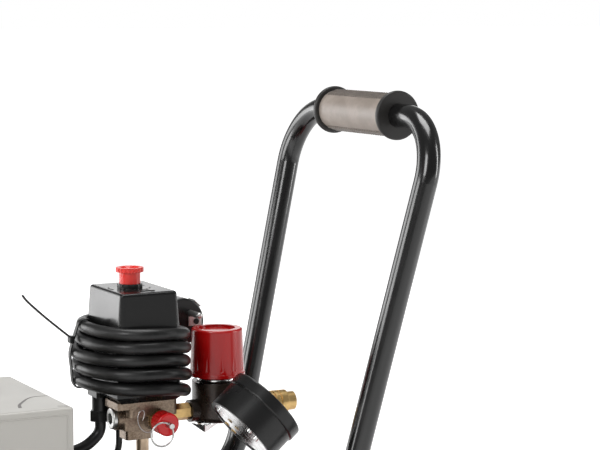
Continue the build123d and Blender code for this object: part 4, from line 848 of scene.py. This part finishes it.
@dataclass
class GaugeFittings:
    """The printed scale of the gauge, and the two screws in its back."""

    centre: Point = (166.2, -58.0, 379.7)
    facing: Point = (0.76, 0.0, 0.65)
    scale_height: float = 6.83
    scale_radius: float = 23.4
    back_depth: float = 15.6
    screw_spread: float = 4.15
    screw_rise: float = 17.0

    def plane(self) -> Matrix:
        """Return the gauge's own frame: Z along its facing and Y across the machine."""
        z = Vector(self.facing).normalized()
        y = Vector((0.0, 1.0, 0.0))
        x = y.cross(z)
        turn = Matrix((x, y, z)).transposed().to_4x4()
        return Matrix.Translation(Vector(self.centre) * MM) @ turn

    def build(self, shop: Workshop) -> None:
        """Make the scale's marks and the screws."""
        plane = self.plane()
        marks = []
        for index in range(51):
            long_mark = index % 10 == 0
            middle = index % 5 == 0
            size = 5.0 if long_mark else 3.4 if middle else 2.0
            width = 0.9 if long_mark else 0.55 if middle else 0.35
            spin = Matrix.Rotation(math.radians(135 - 270 * index / 50), 4, "Z")
            radius = self.scale_radius - size / 2
            place = plane @ spin @ Matrix.Translation(Vector((radius, 0, self.scale_height)) * MM)
            marks.append(plank((size * MM, width * MM, 0.05 * MM), place))
        shop.solid("gauge_scale", joined(marks), Finish.PRINTED_BLACK, smooth=False)
        axis = (plane.to_3x3() @ Vector((0, 0, -1))).normalized()
        screws = []
        for side in (-1, 1):
            foot = plane @ (Vector((side * self.screw_spread, self.screw_rise, -self.back_depth)) * MM)
            profile = ((0, 2.25), (0.35, 2.3), (0.75, 2.0), (1.0, 1.3), (1.05, 0.6))
            screws.append(turned([(h * MM, r * MM) for h, r in profile], foot, axis, 28))
        shop.solid("gauge_back_screws", joined(screws), Finish.BRASS)


@dataclass
class ReliefSeal:
    """The thin sealing wire twisted round the relief valve's neck."""

    wire: float = 0.9 * MM
    route: tuple[Point, ...] = (
        (96.5, -31.4, 372.0), (92.0, -32.0, 369.5), (86.5, -31.0, 372.0), (84.0, -29.0, 378.0),
        (85.0, -28.0, 384.5), (89.0, -28.0, 387.0), (90.5, -28.5, 383.0), (88.0, -29.0, 379.0))

    def build(self, shop: Workshop) -> None:
        """Bend the wire."""
        shop.tube("relief_seal_wire", [(x * MM, y * MM, z * MM) for x, y, z in self.route],
                  self.wire, Finish.STEEL, sides=3)


@dataclass
class TankWelds:
    """The seam beads round the tank's dished ends."""

    centre: Point = (-11.0, 0.0, 145.0)
    half_straight: float = 255.0
    radius: float = 115.0
    bead: float = 2.2
    ripples: int = 150

    def build(self, shop: Workshop) -> None:
        """Lay one rippled bead round each end."""
        for side, name in ((-1, "left"), (1, "right")):
            shape = bmesh.new()
            steps, around = self.ripples * 3, 8
            rings = []
            for i in range(steps):
                angle = 2 * math.pi * i / steps
                swell = 1.0 + 0.14 * math.sin(angle * self.ripples)
                ring = []
                for j in range(around):
                    turn = 2 * math.pi * j / around
                    out = self.radius - 0.9 + self.bead * 0.62 * swell * math.cos(turn)
                    ring.append(shape.verts.new(Vector((
                        self.centre[0] + side * self.half_straight + self.bead * swell * math.sin(turn),
                        out * math.cos(angle), self.centre[2] + out * math.sin(angle))) * MM))
                rings.append(ring)
            for i in range(steps):
                low, high = rings[i], rings[(i + 1) % steps]
                for j in range(around):
                    k = (j + 1) % around
                    shape.faces.new((low[j], low[k], high[k], high[j]))
            shop.solid(f"tank_weld_{name}", shape, Finish.WELD)


@dataclass
class Studio:
    """Pale floor, soft light and the camera."""

    lens: float = 117.42
    eye: Point = (-466.8, -1341.1, 680.9)
    target: Point = (234.3, 0.0, 513.8)
    room: float = 0.22

    def camera(self) -> None:
        """Set up the camera."""
        data = bpy.data.cameras.new("camera")
        data.lens = self.lens
        data.sensor_width = 36.0
        data.clip_end = 200.0
        camera = bpy.data.objects.new("camera", data)
        bpy.context.scene.collection.objects.link(camera)
        eye = Vector(self.eye) * MM
        camera.location = eye
        camera.rotation_euler = (Vector(self.target) * MM - eye).to_track_quat("-Z", "Y").to_euler()
        bpy.context.scene.camera = camera

    def floor(self) -> None:
        """Lay a wide pale floor that glows as painted light, dim near the machine and full white farther out.
        """
        shape = bmesh.new()
        bmesh.ops.create_grid(shape, x_segments=4, y_segments=4, size=60.0)
        mesh = bpy.data.meshes.new("floor")
        shape.to_mesh(mesh)
        shape.free()
        graph = Graph("pale_floor")
        cloud = graph.spread(graph.noise(3.0), 0.3, 0.7, 0.0, 1.0)
        tone = graph.mixed(cloud, (0.86, 0.86, 0.86), (0.88, 0.88, 0.88))
        far = graph.node("ShaderNodeVectorMath", {"operation": "LENGTH"}, {0: graph.place()}, "Value")
        # Painted light: the floor's glow stays low within 0.6 m of the middle and rises to full white beyond
        # 2.4 m.
        floor_glow = graph.mixed(graph.spread(far, 0.6, 2.4, 0.0, 1.0), (0.1, 0.1, 0.1), (1.0, 1.0, 1.0))
        graph.set(Base_Color=tone, Roughness=0.7, Emission_Color=floor_glow, Emission_Strength=0.9)
        mesh.materials.append(graph.material)
        floor = bpy.data.objects.new("floor", mesh)
        bpy.context.scene.collection.objects.link(floor)

    def lamp(self, name: str, place: Point, target: Point, size: tuple[float, float], power: float) -> None:
        """Hang one soft rectangular lamp, aimed at a point."""
        data = bpy.data.lights.new(name, "AREA")
        data.shape = "RECTANGLE"
        data.size, data.size_y = size
        data.energy = power
        lamp = bpy.data.objects.new(name, data)
        bpy.context.scene.collection.objects.link(lamp)
        lamp.location = place
        lamp.rotation_euler = (Vector(target) - Vector(place)).to_track_quat("-Z", "Y").to_euler()

    def light(self) -> None:
        """Set the room's brightness and hang the lamps."""
        world = bpy.data.worlds.new("studio")
        world.use_nodes = True
        tree = world.node_tree
        room = tree.nodes["Background"]
        room.inputs["Color"].default_value = (1.0, 1.0, 1.0, 1.0)
        room.inputs["Strength"].default_value = self.room
        seen = tree.nodes.new("ShaderNodeBackground")
        seen.inputs["Strength"].default_value = 1.0
        choice = tree.nodes.new("ShaderNodeMixShader")
        rays = tree.nodes.new("ShaderNodeLightPath")
        tree.links.new(rays.outputs["Is Camera Ray"], choice.inputs[0])
        tree.links.new(room.outputs[0], choice.inputs[1])
        tree.links.new(seen.outputs[0], choice.inputs[2])
        tree.links.new(choice.outputs[0], tree.nodes["World Output"].inputs["Surface"])
        seen.inputs["Color"].default_value = (1.0, 1.0, 1.0, 1.0)
        bpy.context.scene.world = world
        middle = (0.1, 0.0, 0.4)
        self.lamp("key_light", (-1.7, -1.5, 1.9), middle, (0.9, 1.3), 36.0)
        self.lamp("top_light", (0.3, 0.1, 2.2), middle, (1.3, 0.8), 26.0)
        self.lamp("right_light", (2.1, -0.9, 1.0), middle, (0.35, 1.5), 16.0)
        self.lamp("left_back_light", (-1.6, 2.3, 0.75), middle, (1.7, 1.3), 34.0)
        self.lamp("back_light", (1.5, 3.2, 1.0), middle, (2.2, 1.2), 11.0)
        self.lamp("left_light", (-2.4, 0.35, 0.7), middle, (1.2, 1.2), 34.0)
        bpy.context.scene.view_settings.view_transform = "Standard"


def main() -> None:
    """Build the scene in order."""
    logging.basicConfig(level=logging.INFO, format="%(name)s: %(message)s")
    shop = Workshop()
    studio = Studio()
    studio.camera()
    SupplyCord().build(shop, CordTie().build(shop))
    for finish, nodes in DRESSED.items():
        for node in nodes:
            shop.dress(node, finish)
    GaugeFittings().build(shop)
    CowlFittings().build(shop)
    SwitchMarks().build(shop)
    ReliefSeal().build(shop)
    TankWelds().build(shop)
    studio.floor()
    studio.light()


if __name__ == "__main__":
    main()
